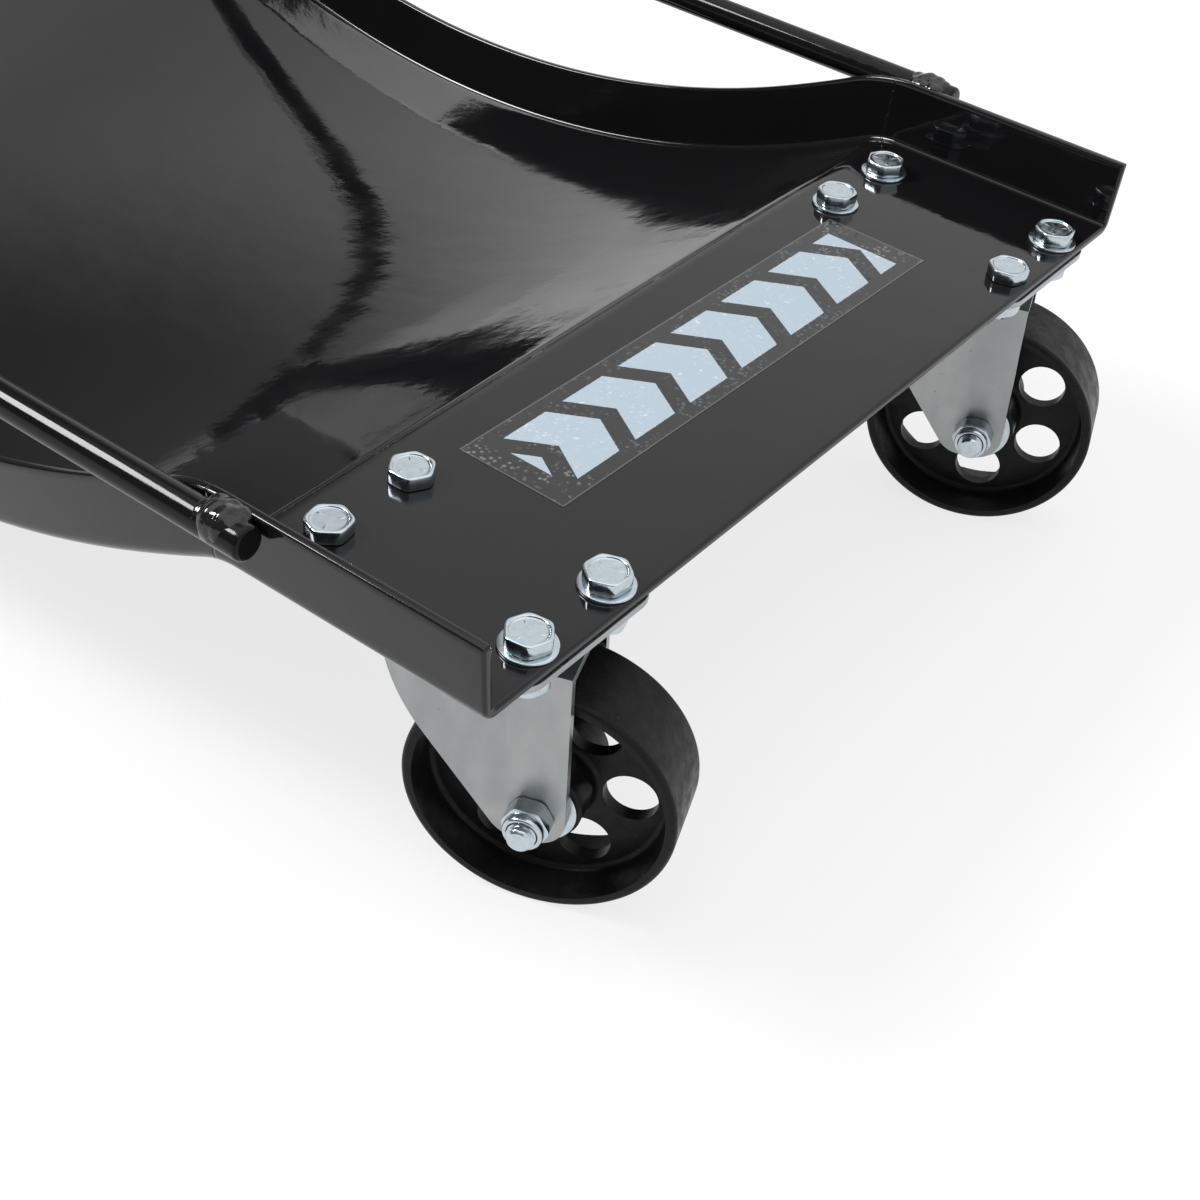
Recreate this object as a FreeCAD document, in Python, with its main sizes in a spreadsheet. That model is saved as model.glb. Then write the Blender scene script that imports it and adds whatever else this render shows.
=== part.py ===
import FreeCAD, Part
import math
import os
import Sketcher

# A wheel dolly: a pressed-steel tray whose dished middle holds one tyre of a parked car, tied together by
# two round side rods and carried by four swivel casters with cast-iron wheels.
# Millimetres. X runs along the tray, Y across it, Z up. The origin is on the floor under the tray's centre.

doc = FreeCAD.newDocument("wheel_dolly")

# ---------------------------------------------------------------- driving dimensions

DIMENSIONS = [
    # tray
    ("tray_length", 540.0),        # overall, end edge to end edge
    ("tray_width", 323.0),         # outside the flanges at deck level
    ("sheet_thick", 3.0),
    ("deck_height", 102.6),        # top of the flat end pads above the floor
    ("flange_rise", 21.2),         # flange top above the deck
    ("flange_lean", 5.6),          # degrees, outwards
    ("bend_radius", 4.5),          # outside of the bend between deck and flange
    ("pad_length", 88.0),          # end edge to the press line where the cradle starts
    ("cradle_depth", 48.5),
    ("crease_radius", 15.0),       # how the flanges round off at the press line
    # side rods and their welds
    ("rod_dia", 9.5),
    ("rod_end_inset", 67.0),       # rod end to tray end edge
    ("rod_rise", 17.0),            # rod axis above the deck
    ("weld_inset", 77.0),          # weld centre to tray end edge
    ("weld_length", 15.0),
    # bolted joint
    ("bolt_dia", 8.0),
    ("hole_dia", 8.6),
    ("hex_flats", 12.0),
    ("head_height", 4.2),
    ("washer_dia", 15.4),
    ("washer_thick", 1.0),
    ("nut_height", 6.4),
    ("bolt_grip", 13.9),           # deck top to bolt tip
    ("bolt_edge", 8.2),            # outer bolt row to the end edge
    ("bolt_side", 25.7),           # outer bolt column to the outside of the flange
    ("bolt_pitch_x", 64.0),
    ("bolt_pitch_y", 31.0),
    # caster
    ("plate_length", 81.2),
    ("plate_width", 57.0),
    ("plate_thick", 2.0),
    ("plate_corner", 9.0),
    ("race_radius", 18.5),         # upper ball circle
    ("race_ball", 5.0),            # upper ball diameter
    ("low_race_radius", 9.6),      # lower ball circle
    ("low_ball", 3.5),             # lower ball diameter
    ("cup_radius", 27.4),          # outside of the fork's cup
    ("crown_radius", 30.5),        # rim under the cup
    ("crown_thick", 3.0),
    ("crown_drop", 14.5),          # crown rim's top below the deck top
    ("kingpin_dia", 11.0),
    ("leg_thick", 3.0),
    ("leg_gap", 29.0),             # between the fork's legs
    ("leg_reach", 10.5),           # from the axle to the upright edge of the leg
    ("leg_toe", 9.8),              # from the axle to the leg's lower end
    ("leg_heel", 16.2),            # top of the slanted edge behind the kingpin axis
    ("leg_front_top", 3.1),        # the upright edge leans back this far at its top
    ("leg_front_toe", 0.7),        # and this far at the toe
    ("leg_corner", 9.0),           # rounding of the leg's two lower corners
    ("trail", 26.8),               # axle ahead of the kingpin axis
    ("axle_dia", 8.0),
    ("sleeve_dia", 12.0),
    # wheel
    ("wheel_dia", 76.2),
    ("wheel_width", 25.4),
    ("rim_inner", 34.2),           # radius inside the rim
    ("web_thick", 4.0),
    ("hub_dia", 25.0),
    ("hub_length", 27.0),
    ("roller_dia", 3.4),
    ("wheel_hole_dia", 15.4),
    ("wheel_hole_circle", 22.8),   # radius
    # label
    ("label_length", 181.0),
    ("label_width", 36.0),
    ("label_thick", 0.15),
    ("label_inset", 51.8),         # label centre to the end edge
    # how the casters stand at rest, in degrees
    ("turn_right", 20.7),          # the right front and left rear casters trail this far off the X axis
    ("turn_left", 19.5),           # the left front and right rear casters
    ("phase_right", 0.0),          # and where the holes of their wheels are
    ("phase_left", 38.6),
]

sheet = doc.addObject("Spreadsheet::Sheet", "dims")
for row, (alias, value) in enumerate(DIMENSIONS, start=1):
    sheet.set(f"A{row}", alias)
    sheet.set(f"B{row}", str(value))
    sheet.setAlias(f"B{row}", alias)
doc.recompute()


class Size:
    """A length or an angle that knows both its value and the expression that gives it from the sheet."""

    def __init__(self, value, text):
        self.value = value
        self.text = text

    def __add__(self, other):
        other = as_size(other)
        return Size(self.value + other.value, f"({self.text} + {other.text})")

    def __sub__(self, other):
        other = as_size(other)
        return Size(self.value - other.value, f"({self.text} - {other.text})")

    def __mul__(self, other):
        other = as_size(other)
        return Size(self.value * other.value, f"({self.text} * {other.text})")

    def __truediv__(self, other):
        other = as_size(other)
        return Size(self.value / other.value, f"({self.text} / {other.text})")

    def __neg__(self):
        return Size(-self.value, f"(0 - {self.text})")


def as_size(number):
    return number if isinstance(number, Size) else Size(float(number), repr(float(number)))


def dim(alias):
    return Size(float(sheet.get(alias)), f"dims.{alias}")


def root(size):
    return Size(math.sqrt(size.value), f"sqrt({size.text})")


def sine(size):
    return Size(math.sin(math.radians(size.value)), f"sin({size.text})")


def cosine(size):
    return Size(math.cos(math.radians(size.value)), f"cos({size.text})")


def tangent(size):
    return Size(math.tan(math.radians(size.value)), f"tan({size.text})")


def bind(obj, **sizes):
    """Bind an object's properties to the sheet."""
    for name, size in sizes.items():
        obj.setExpression(name, as_size(size).text)
    return obj


TOLERANCE = 1e-3                         # two sizes closer than this are the same


# ---------------------------------------------------------------- sketches and features

def plane_of(body, role):
    for feature in body.Origin.OriginFeatures:
        if feature.Role == role:
            return feature
    raise ValueError(role)


def new_body(name):
    body = doc.addObject("PartDesign::Body", name)
    body.Label = name
    return body


def new_sketch(body, name, role, lift=None):
    """A sketch on one of its body's own planes, lifted off it by a size."""
    sketch = body.newObject("Sketcher::SketchObject", name)
    sketch.AttachmentSupport = [(plane_of(body, role), "")]
    sketch.MapMode = "FlatFace"
    if lift is not None:
        sketch.setExpression("AttachmentOffset.Base.z", lift.text)
    return sketch


def pin(sketch, geometry, position, x, y):
    """Hold one point of a sketch at x, y."""
    for kind, size in (("DistanceX", as_size(x)), ("DistanceY", as_size(y))):
        index = sketch.addConstraint(Sketcher.Constraint(kind, -1, 1, geometry, position, size.value))
        sketch.setExpression(f"Constraints[{index}]", size.text)


def set_radius(sketch, geometry, radius):
    radius = as_size(radius)
    index = sketch.addConstraint(Sketcher.Constraint("Radius", geometry, radius.value))
    sketch.setExpression(f"Constraints[{index}]", radius.text)


def add_circle(sketch, x, y, radius):
    centre = FreeCAD.Vector(as_size(x).value, as_size(y).value, 0)
    circle = sketch.addGeometry(Part.Circle(centre, FreeCAD.Vector(0, 0, 1), as_size(radius).value))
    pin(sketch, circle, 3, x, y)
    set_radius(sketch, circle, radius)


def add_outline(sketch, points, closed=True):
    """Draw a chain of edges. A point is (x, y), or (x, y, radius) where the edge that starts at it is an
    arc, which bends to the left of its chord for a positive radius and to the right for a negative one."""
    count = len(points) if closed else len(points) - 1
    edges = []
    for index in range(count):
        start = points[index]
        end = points[(index + 1) % len(points)]
        first = FreeCAD.Vector(as_size(start[0]).value, as_size(start[1]).value, 0)
        last = FreeCAD.Vector(as_size(end[0]).value, as_size(end[1]).value, 0)
        if len(start) == 2:
            edges.append((sketch.addGeometry(Part.LineSegment(first, last)), 1, 2))
            continue
        radius = as_size(start[2])
        chord = last - first
        side = 1.0 if radius.value > 0 else -1.0
        left = FreeCAD.Vector(-chord.y, chord.x, 0).normalize()
        sagitta = abs(radius.value) - math.sqrt(radius.value ** 2 - (chord.Length / 2) ** 2)
        middle = (first + last) * 0.5 + left * side * sagitta
        arc = Part.Arc(first, middle, last)
        geometry = sketch.addGeometry(arc)
        turned = sketch.getPoint(geometry, 1).distanceToPoint(first) > 1e-6
        edges.append((geometry, 2, 1) if turned else (geometry, 1, 2))
    for index, (geometry, start_vertex, end_vertex) in enumerate(edges):
        if index + 1 < count or closed:
            following = edges[(index + 1) % count]
            sketch.addConstraint(Sketcher.Constraint("Coincident", geometry, end_vertex,
                                                     following[0], following[1]))
        pin(sketch, geometry, start_vertex, points[index][0], points[index][1])
        if len(points[index]) == 3:
            radius = as_size(points[index][2])
            set_radius(sketch, geometry, radius if radius.value > 0 else -radius)
    if not closed:
        pin(sketch, edges[-1][0], edges[-1][2], points[-1][0], points[-1][1])


def pad(body, name, sketch, length, both_ways=False):
    feature = body.newObject("PartDesign::Pad", name)
    feature.Profile = sketch
    feature.Midplane = both_ways
    bind(feature, Length=length)
    return feature


def pocket(body, name, sketch, length, both_ways=False):
    """Cut a sketch out of the body."""
    before = body.Tip.Shape.Volume
    feature = body.newObject("PartDesign::Pocket", name)
    feature.Profile = sketch
    feature.Midplane = both_ways
    bind(feature, Length=length)
    doc.recompute()
    if body.Tip.Shape.Volume > before - TOLERANCE:
        raise RuntimeError(f"{body.Label}: {name} cuts nothing")
    return feature


def spin(body, kind, name, sketch):
    """A full revolution (or groove) of a sketch about its vertical axis."""
    feature = body.newObject(f"PartDesign::{kind}", name)
    feature.Profile = sketch
    feature.ReferenceAxis = (sketch, ["V_Axis"])
    feature.Angle = 360.0
    return feature


def repeat(body, name, originals, count):
    """Repeat features round the body's Z axis."""
    pattern = body.newObject("PartDesign::PolarPattern", name)
    pattern.Originals = originals
    pattern.Axis = (plane_of(body, "Z_Axis"), [""])
    pattern.Angle = 360.0
    pattern.Occurrences = count
    body.Tip = pattern


def round_edges(body, name, edges, radius, wanted, kind="Fillet"):
    """Fillet or chamfer the edges of the body's tip that are wanted."""
    names = [f"Edge{index + 1}" for index, edge in enumerate(edges) if wanted(edge)]
    if not names:
        raise RuntimeError(f"{body.Label}: {name} has no edges")
    feature = body.newObject(f"PartDesign::{kind}", name)
    feature.Base = (body.Tip if body.Tip != feature else feature.BaseFeature, names)
    bind(feature, **{"Radius" if kind == "Fillet" else "Size": radius})
    return feature


def place(shape, x=0, y=0, z=0):
    for axis, size in (("x", x), ("y", y), ("z", z)):
        shape.setExpression(f"Placement.Base.{axis}", as_size(size).text)


def group(name, shapes):
    result = doc.addObject("Part::Compound", name)
    result.Links = shapes
    result.Label = name
    return result


# ---------------------------------------------------------------- sizes worked out from the sheet

SHEET = dim("sheet_thick")
HALF_LENGTH = dim("tray_length") / 2
HALF_WIDTH = dim("tray_width") / 2
DECK = dim("deck_height")
LEAN = dim("flange_lean")
BOLT_X = HALF_LENGTH - dim("bolt_edge")
BOLT_Y = HALF_WIDTH - dim("bolt_side")
KINGPIN_X = BOLT_X - dim("bolt_pitch_x") / 2
KINGPIN_Y = BOLT_Y - dim("bolt_pitch_y") / 2
AXLE = DECK - dim("wheel_dia") / 2       # axle below the deck
LEG_FRONT = dim("trail") + dim("leg_reach")
PLATE_TOP = -SHEET
PLATE_LOW = PLATE_TOP - dim("plate_thick")
DISH_DEEP = as_size(3.4)                 # how far the upper race is pressed out of the plate
RACE_GAP = as_size(3.4)                  # between the plate's race and the fork's
DISH_LOW = PLATE_LOW - DISH_DEEP
RACE_Z = DISH_LOW - RACE_GAP / 2         # centres of the upper balls
SHELF = DISH_LOW - RACE_GAP              # the fork's upper race
SHELF_LOW = SHELF - dim("crown_thick")
CROWN_TOP = -dim("crown_drop")
CROWN_LOW = CROWN_TOP - dim("crown_thick")
LOW_RACE_Z = SHELF_LOW - 1.0             # centres of the lower balls
LOW_RACE_TOP = LOW_RACE_Z - 1.0
LOW_RACE_LOW = LOW_RACE_TOP - 2.2
PIN_RADIUS = dim("kingpin_dia") / 2
RUNNING = 0.05                           # radial clearance of what turns on a pin
SNUG = 0.02                              # clearance of what is pushed or laid on to another piece
TOOL = 1                                 # how far a cutting profile reaches past what it cuts
HEX_RADIUS = dim("hex_flats") / cosine(as_size(30)) / 2      # centre to a corner of a hexagon
BALL_PLAY = 0.08                         # clearance of the balls in their grooves
HOLLOW = dim("leg_gap") / 2 - 0.2        # radius of the hollow under the crown
CUP_WALL = as_size(2.0)

# The cradle is one arc through both press lines, and its dip below the deck is cradle_depth.
CHORD = HALF_LENGTH - dim("pad_length")
DIP = dim("cradle_depth")
CRADLE_RADIUS = (CHORD * CHORD + DIP * DIP) / (DIP * 2)
CRADLE_CENTRE = CRADLE_RADIUS - DIP
CREASE = dim("crease_radius")
CREASE_X = root((CRADLE_RADIUS + CREASE) * (CRADLE_RADIUS + CREASE)
                - (CRADLE_CENTRE + CREASE) * (CRADLE_CENTRE + CREASE))
JOIN_X = CREASE_X * CRADLE_RADIUS / (CRADLE_RADIUS + CREASE)
JOIN_Z = CRADLE_CENTRE - (CRADLE_CENTRE + CREASE) * CRADLE_RADIUS / (CRADLE_RADIUS + CREASE)


# ---------------------------------------------------------------- tray

def make_tray():
    body = new_body("tray")
    rise = dim("flange_rise")
    outer = dim("bend_radius")
    inner = outer - SHEET
    reach = tangent((as_size(90) - LEAN) / 2)      # tangent length of a bend of radius 1
    edge_y = HALF_WIDTH - SHEET * tangent(LEAN)    # where the outer face meets the underside
    inside_y = HALF_WIDTH - SHEET / cosine(LEAN)   # where the inner face meets the deck
    top_y = HALF_WIDTH + rise * tangent(LEAN)
    lip_y = top_y - SHEET * cosine(LEAN)
    lip_z = rise + SHEET * sine(LEAN)
    turn = outer * reach
    turn_in = inner * reach
    # left half of the section, from the underside round the flange to the deck; the right half mirrors it
    half = [
        (edge_y - turn, -SHEET, -outer),
        (edge_y + turn * sine(LEAN), turn * cosine(LEAN) - SHEET),
        (top_y, rise),
        (lip_y, lip_z),
        (inside_y + turn_in * sine(LEAN), turn_in * cosine(LEAN), inner),
        (inside_y - turn_in, as_size(0)),
    ]
    other = []
    for index in range(len(half) - 1, -1, -1):
        point = (-half[index][0], half[index][1])
        if index > 0 and len(half[index - 1]) == 3:
            point += (half[index - 1][2],)
        other.append(point)
    section = new_sketch(body, "tray_section", "YZ_Plane")
    add_outline(section, [(y, z - DIP) + tuple(rest) for y, z, *rest in half + other])
    path = new_sketch(body, "tray_path", "XZ_Plane")
    add_outline(path, [
        (as_size(0), -DIP, -CRADLE_RADIUS),
        (JOIN_X, JOIN_Z, CREASE),
        (CREASE_X, as_size(0)),
        (HALF_LENGTH, as_size(0)),
    ], closed=False)
    doc.recompute()
    sweep = body.newObject("PartDesign::AdditivePipe", "tray_half")
    sweep.Profile = section
    sweep.Spine = (path, [f"Edge{number + 1}" for number in range(path.GeometryCount)])
    doc.recompute()
    # the press line: the deck keeps a crisp edge where the flanges round off
    ridge_deep = SHEET / 2
    ridge_overlap = 2
    ridge_out = CREASE_X + ridge_overlap
    ridge_in = CHORD * 2 - ridge_out
    ridge_z = CRADLE_CENTRE - root(CRADLE_RADIUS * CRADLE_RADIUS - ridge_in * ridge_in)
    ridge = new_sketch(body, "press_line", "XZ_Plane")
    add_outline(ridge, [
        (ridge_out, as_size(0)),
        (CHORD, as_size(0), CRADLE_RADIUS),
        (ridge_in, ridge_z),
        (ridge_in, ridge_z - ridge_deep),
        (ridge_out, -ridge_deep),
    ])
    pad(body, "press_line_ridge", ridge, inside_y * 2 + SHEET, both_ways=True)
    doc.recompute()
    drill = new_sketch(body, "bolt_holes", "XY_Plane")
    for across in (BOLT_Y, BOLT_Y - dim("bolt_pitch_y")):
        for along in (BOLT_X, BOLT_X - dim("bolt_pitch_x")):
            for side in (1, -1):
                add_circle(drill, along, across * side, dim("hole_dia") / 2)
    doc.recompute()
    holes = pocket(body, "bolt_holes_cut", drill, dim("deck_height"), both_ways=True)
    mirror = body.newObject("PartDesign::Mirrored", "other_end")
    mirror.Originals = [body.getObject("tray_half"), body.getObject("press_line_ridge"), holes]
    mirror.MirrorPlane = (plane_of(body, "YZ_Plane"), [""])
    body.Tip = mirror
    place(body, z=DECK)


# ---------------------------------------------------------------- what is bolted or welded to the tray

ROD_Y = HALF_WIDTH + dim("flange_rise") * tangent(LEAN) + dim("rod_dia") / 2 + SNUG
WELD_X = HALF_LENGTH - dim("weld_inset")
CORNERS = {
    # name: end (X), side (Y), angle at rest and wheel phase
    "front_right": (1, -1, "turn_right", "phase_right"),
    "front_left": (1, 1, "turn_left", "phase_left"),
    "rear_right": (-1, -1, "turn_left", "phase_left"),
    "rear_left": (-1, 1, "turn_right", "phase_right"),
}
# Seen from the kingpin, each corner's bolts are outer or inner along X (first sign) and Y (second sign).
# The bolts listed here have a washer under the head.
WASHERED = {
    "right": ((1, 1), (1, -1)),
    "left": ((1, 1), (-1, 1), (-1, -1)),
}
CHAMFER_SLOPE = 0.5                            # drop of a hexagon's chamfer for each mm outwards
HEAD_TURNS = (8, 23, 41, 2, 35, 16, 52, 28)    # degrees, how the heads happened to end up


def make_rods():
    length = (HALF_LENGTH - dim("rod_end_inset")) * 2
    end_chamfer = 0.6
    for side, name in ((1, "side_rod_left"), (-1, "side_rod_right")):
        rod = new_body(name)
        sketch = new_sketch(rod, f"{name}_section", "YZ_Plane")
        add_circle(sketch, 0, 0, dim("rod_dia") / 2)
        bar = pad(rod, f"{name}_bar", sketch, length, both_ways=True)
        doc.recompute()
        round_edges(rod, f"{name}_ends", bar.Shape.Edges, end_chamfer, kind="Chamfer",
                    wanted=lambda edge: edge.Curve.TypeId == "Part::GeomCircle")
        place(rod, 0, ROD_Y * side, DECK + dim("rod_rise"))


def make_welds():
    thickness = as_size(4.6)
    height = as_size(4.8)
    overlap = dim("rod_dia") * 0.42    # how far each bead's centre sits inside the rod's axis
    beads = []
    for end in (1, -1):
        for side in (1, -1):
            bead = doc.addObject("Part::Ellipsoid", "weld_bead")
            bind(bead, Radius1=thickness, Radius2=dim("weld_length") / 2, Radius3=height)
            bead.Placement.Rotation = FreeCAD.Rotation(FreeCAD.Vector(0, 0, 1), 180 if end < 0 else 0)
            place(bead, WELD_X * end, (ROD_Y - overlap) * side, DECK + dim("flange_rise"))
            beads.append(bead)
    group("rod_welds", beads)


def make_label():
    label = new_body("label")
    film = new_sketch(label, "label_outline", "XY_Plane")
    half_x = dim("label_width") / 2
    half_y = dim("label_length") / 2
    askew = -1.1       # degrees; it was stuck on by hand
    off_centre = 3.7
    add_outline(film, [(-half_x, -half_y), (half_x, -half_y), (half_x, half_y), (-half_x, half_y)])
    pad(label, "label_film", film, dim("label_thick"))
    label.Placement.Rotation = FreeCAD.Rotation(FreeCAD.Vector(0, 0, 1), askew)
    place(label, HALF_LENGTH - dim("label_inset"), off_centre, DECK)


def make_bolt_master():
    """A hex bolt with a chamfered, slightly dished head. Its head's underside is at z = 0."""
    body = new_body("hex_bolt")
    flats = dim("hex_flats")
    head = body.newObject("PartDesign::AdditivePrism", "bolt_head")
    head.Polygon = 6
    bind(head, Circumradius=HEX_RADIUS, Height=dim("head_height"))
    doc.recompute()
    shank = body.newObject("PartDesign::AdditiveCylinder", "bolt_shank")
    bind(shank, Radius=dim("bolt_dia") / 2, Height=dim("bolt_grip"))
    place(shank, z=-dim("bolt_grip"))
    doc.recompute()
    corner = HEX_RADIUS + TOOL
    crown = new_sketch(body, "head_chamfer", "XZ_Plane")
    top = dim("head_height")
    rim = flats / 2 - 0.2
    drop = (corner - rim) * CHAMFER_SLOPE
    add_outline(crown, [(rim, top), (corner, top - drop), (corner, top + TOOL), (rim, top + TOOL)])
    spin(body, "Groove", "head_chamfer_cut", crown)
    doc.recompute()
    dish = new_sketch(body, "head_dish", "XZ_Plane")
    rim_width = 0.7
    dish_depth = 0.5
    edge = rim - rim_width
    add_outline(dish, [(0, top - dish_depth), (edge - dish_depth, top - dish_depth), (edge, top),
                       (edge, top + TOOL), (0, top + TOOL)])
    spin(body, "Groove", "head_dish_cut", dish)
    return body


def make_nut_master():
    """A hex nut, both faces chamfered, with its top face at z = 0."""
    body = new_body("hex_nut")
    flats = dim("hex_flats")
    height = dim("nut_height")
    block = body.newObject("PartDesign::AdditivePrism", "nut_block")
    block.Polygon = 6
    bind(block, Circumradius=HEX_RADIUS, Height=height)
    place(block, z=-height)
    doc.recompute()
    corner = HEX_RADIUS + TOOL
    rim = flats / 2
    drop = (corner - rim) * CHAMFER_SLOPE
    for name, low, out in (("nut_top", as_size(0), 1), ("nut_foot", -height, -1)):
        sketch = new_sketch(body, f"{name}_chamfer", "XZ_Plane")
        points = [(rim, low), (corner, low - drop * out), (corner, low + out), (rim, low + out)]
        add_outline(sketch, points)
        spin(body, "Groove", f"{name}_cut", sketch)
        doc.recompute()
    bore = new_sketch(body, "nut_bore", "XY_Plane")
    add_circle(bore, 0, 0, dim("bolt_dia") / 2 + SNUG)
    pocket(body, "nut_bore_cut", bore, height)
    return body


def make_washer_master():
    """A flat washer that lies on z = 0."""
    body = new_body("flat_washer")
    ring = new_sketch(body, "washer_ring", "XY_Plane")
    add_circle(ring, 0, 0, dim("washer_dia") / 2)
    add_circle(ring, 0, 0, dim("hole_dia") / 2)
    pad(body, "washer_disc", ring, dim("washer_thick"))
    doc.recompute()
    edge_round = 0.3
    round_edges(body, "washer_edge", body.Tip.Shape.Edges, edge_round,
                wanted=lambda edge: edge.Curve.TypeId == "Part::GeomCircle"
                and edge.Curve.Radius > dim("hole_dia").value / 2 + TOLERANCE
                and edge.BoundBox.ZMin > dim("washer_thick").value / 2)
    return body


def copy_of(master, name, x, y, z, turn=0.0):
    link = doc.addObject("App::Link", name)
    link.setLink(master)
    link.Placement.Rotation = FreeCAD.Rotation(FreeCAD.Vector(0, 0, 1), turn)
    place(link, x, y, z)
    return link


def make_fasteners():
    bolt = make_bolt_master()
    nut = make_nut_master()
    washer = make_washer_master()
    doc.recompute()
    bolts, nuts, washers = [], [], []
    for end, side, _, _ in CORNERS.values():
        # the far end of the dolly is this end turned half round, so left and right change places
        hand = "right" if end * side < 0 else "left"
        for along in (1, -1):
            for across in (1, -1):
                x = (KINGPIN_X + dim("bolt_pitch_x") / 2 * along) * end
                y = (KINGPIN_Y + dim("bolt_pitch_y") / 2 * across) * side
                raised = (along, across) in WASHERED[hand]
                lift = dim("washer_thick") if raised else as_size(0)
                angle = HEAD_TURNS[len(bolts) % len(HEAD_TURNS)]
                bolts.append(copy_of(bolt, "bolt", x, y, DECK + lift, angle))
                nuts.append(copy_of(nut, "nut", x, y, DECK + PLATE_LOW, angle * 2))
                if raised:
                    washers.append(copy_of(washer, "washer", x, y, DECK))
    group("mounting_bolts", bolts)
    group("mounting_nuts", nuts)
    group("mounting_washers", washers)


# ---------------------------------------------------------------- a caster
# Each piece is built with the kingpin axis at the origin, z = 0 at the deck and the axle ahead along X.

def put_on_corner(body, corner, turned):
    end, side, turn, _ = CORNERS[corner]
    angle = (dim(turn).value if turned else 0.0) + (0 if end > 0 else 180)
    body.Placement.Rotation = FreeCAD.Rotation(FreeCAD.Vector(0, 0, 1), angle)
    place(body, KINGPIN_X * end, KINGPIN_Y * side, DECK)


def ring_groove(body, name, radius, height, ball):
    """Cut a round-bottomed ball track into the body."""
    sketch = new_sketch(body, f"{name}_section", "XZ_Plane")
    add_circle(sketch, radius, height, ball / 2 + BALL_PLAY)
    spin(body, "Groove", name, sketch)
    doc.recompute()


def make_caster_plate(name, corner):
    body = new_body(name)
    half_x = dim("plate_length") / 2
    half_y = dim("plate_width") / 2
    outline = new_sketch(body, f"{name}_outline", "XY_Plane", PLATE_LOW)
    add_outline(outline, [(-half_x, -half_y), (half_x, -half_y), (half_x, half_y), (-half_x, half_y)])
    plate = pad(body, f"{name}_sheet", outline, dim("plate_thick"))
    doc.recompute()
    round_edges(body, f"{name}_corners", plate.Shape.Edges, dim("plate_corner"),
                wanted=lambda edge: abs(edge.BoundBox.ZLength - dim("plate_thick").value) < TOLERANCE)
    doc.recompute()
    cup_play = 0.8
    bevel = 2
    overlap = 0.5
    dish_edge = dim("cup_radius") - CUP_WALL - cup_play
    dish = new_sketch(body, f"{name}_dish", "XZ_Plane")
    add_outline(dish, [(0, DISH_LOW), (dish_edge - bevel, DISH_LOW), (dish_edge, DISH_LOW + bevel),
                       (dish_edge, PLATE_LOW + overlap), (0, PLATE_LOW + overlap)])
    spin(body, "Revolution", f"{name}_dish_boss", dish)
    doc.recompute()
    hollow_edge = dish_edge - dim("plate_thick")
    hollow = new_sketch(body, f"{name}_hollow", "XZ_Plane")
    floor = DISH_LOW + dim("plate_thick")
    add_outline(hollow, [(0, floor), (hollow_edge - bevel, floor), (hollow_edge, floor + bevel),
                         (hollow_edge, PLATE_TOP + TOOL), (0, PLATE_TOP + TOOL)])
    spin(body, "Groove", f"{name}_hollow_cut", hollow)
    doc.recompute()
    ring_groove(body, f"{name}_race", dim("race_radius"), RACE_Z, dim("race_ball"))
    drill = new_sketch(body, f"{name}_holes", "XY_Plane")
    add_circle(drill, 0, 0, PIN_RADIUS)
    for along in (1, -1):
        for across in (1, -1):
            add_circle(drill, dim("bolt_pitch_x") / 2 * along, dim("bolt_pitch_y") / 2 * across,
                       dim("hole_dia") / 2)
    doc.recompute()
    pocket(body, f"{name}_holes_cut", drill, dim("crown_drop") * 4, both_ways=True)
    put_on_corner(body, corner, turned=False)


def make_kingpin(name, corner):
    body = new_body(name)
    floor = DISH_LOW + dim("plate_thick")
    foot = LOW_RACE_LOW - 2.4          # riveted over under the lower race
    foot_side = LOW_RACE_LOW - 1.2
    foot_radius = 7.4
    foot_flat = 5.6
    head = floor + 2.6                 # sits on the floor of the plate's dish
    head_side = floor + 1.6
    head_radius = 9
    head_flat = 7.6
    profile = new_sketch(body, f"{name}_profile", "XZ_Plane")
    add_outline(profile, [
        (0, foot), (foot_flat, foot), (foot_radius, foot_side), (foot_radius, LOW_RACE_LOW),
        (PIN_RADIUS, LOW_RACE_LOW), (PIN_RADIUS, floor), (head_radius, floor), (head_radius, head_side),
        (head_flat, head), (0, head),
    ])
    spin(body, "Revolution", f"{name}_pin", profile)
    put_on_corner(body, corner, turned=False)


def make_lower_race(name, corner):
    body = new_body(name)
    profile = new_sketch(body, f"{name}_profile", "XZ_Plane")
    side_play = 1.1
    bevel = 1
    outer = HOLLOW - side_play
    add_outline(profile, [
        (PIN_RADIUS, LOW_RACE_LOW), (outer - bevel, LOW_RACE_LOW), (outer, LOW_RACE_LOW + bevel),
        (outer, LOW_RACE_TOP), (PIN_RADIUS, LOW_RACE_TOP),
    ])
    spin(body, "Revolution", f"{name}_ring", profile)
    doc.recompute()
    ring_groove(body, f"{name}_track", dim("low_race_radius"), LOW_RACE_Z, dim("low_ball"))
    put_on_corner(body, corner, turned=False)


def make_balls(name, corner, circle, height, ball, count):
    body = new_body(name)
    body.AllowCompound = True
    one = body.newObject("PartDesign::AdditiveSphere", f"{name}_one")
    bind(one, Radius=ball / 2)
    place(one, circle, 0, height)
    doc.recompute()
    repeat(body, f"{name}_ring", [one], count)
    put_on_corner(body, corner, turned=True)


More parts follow.
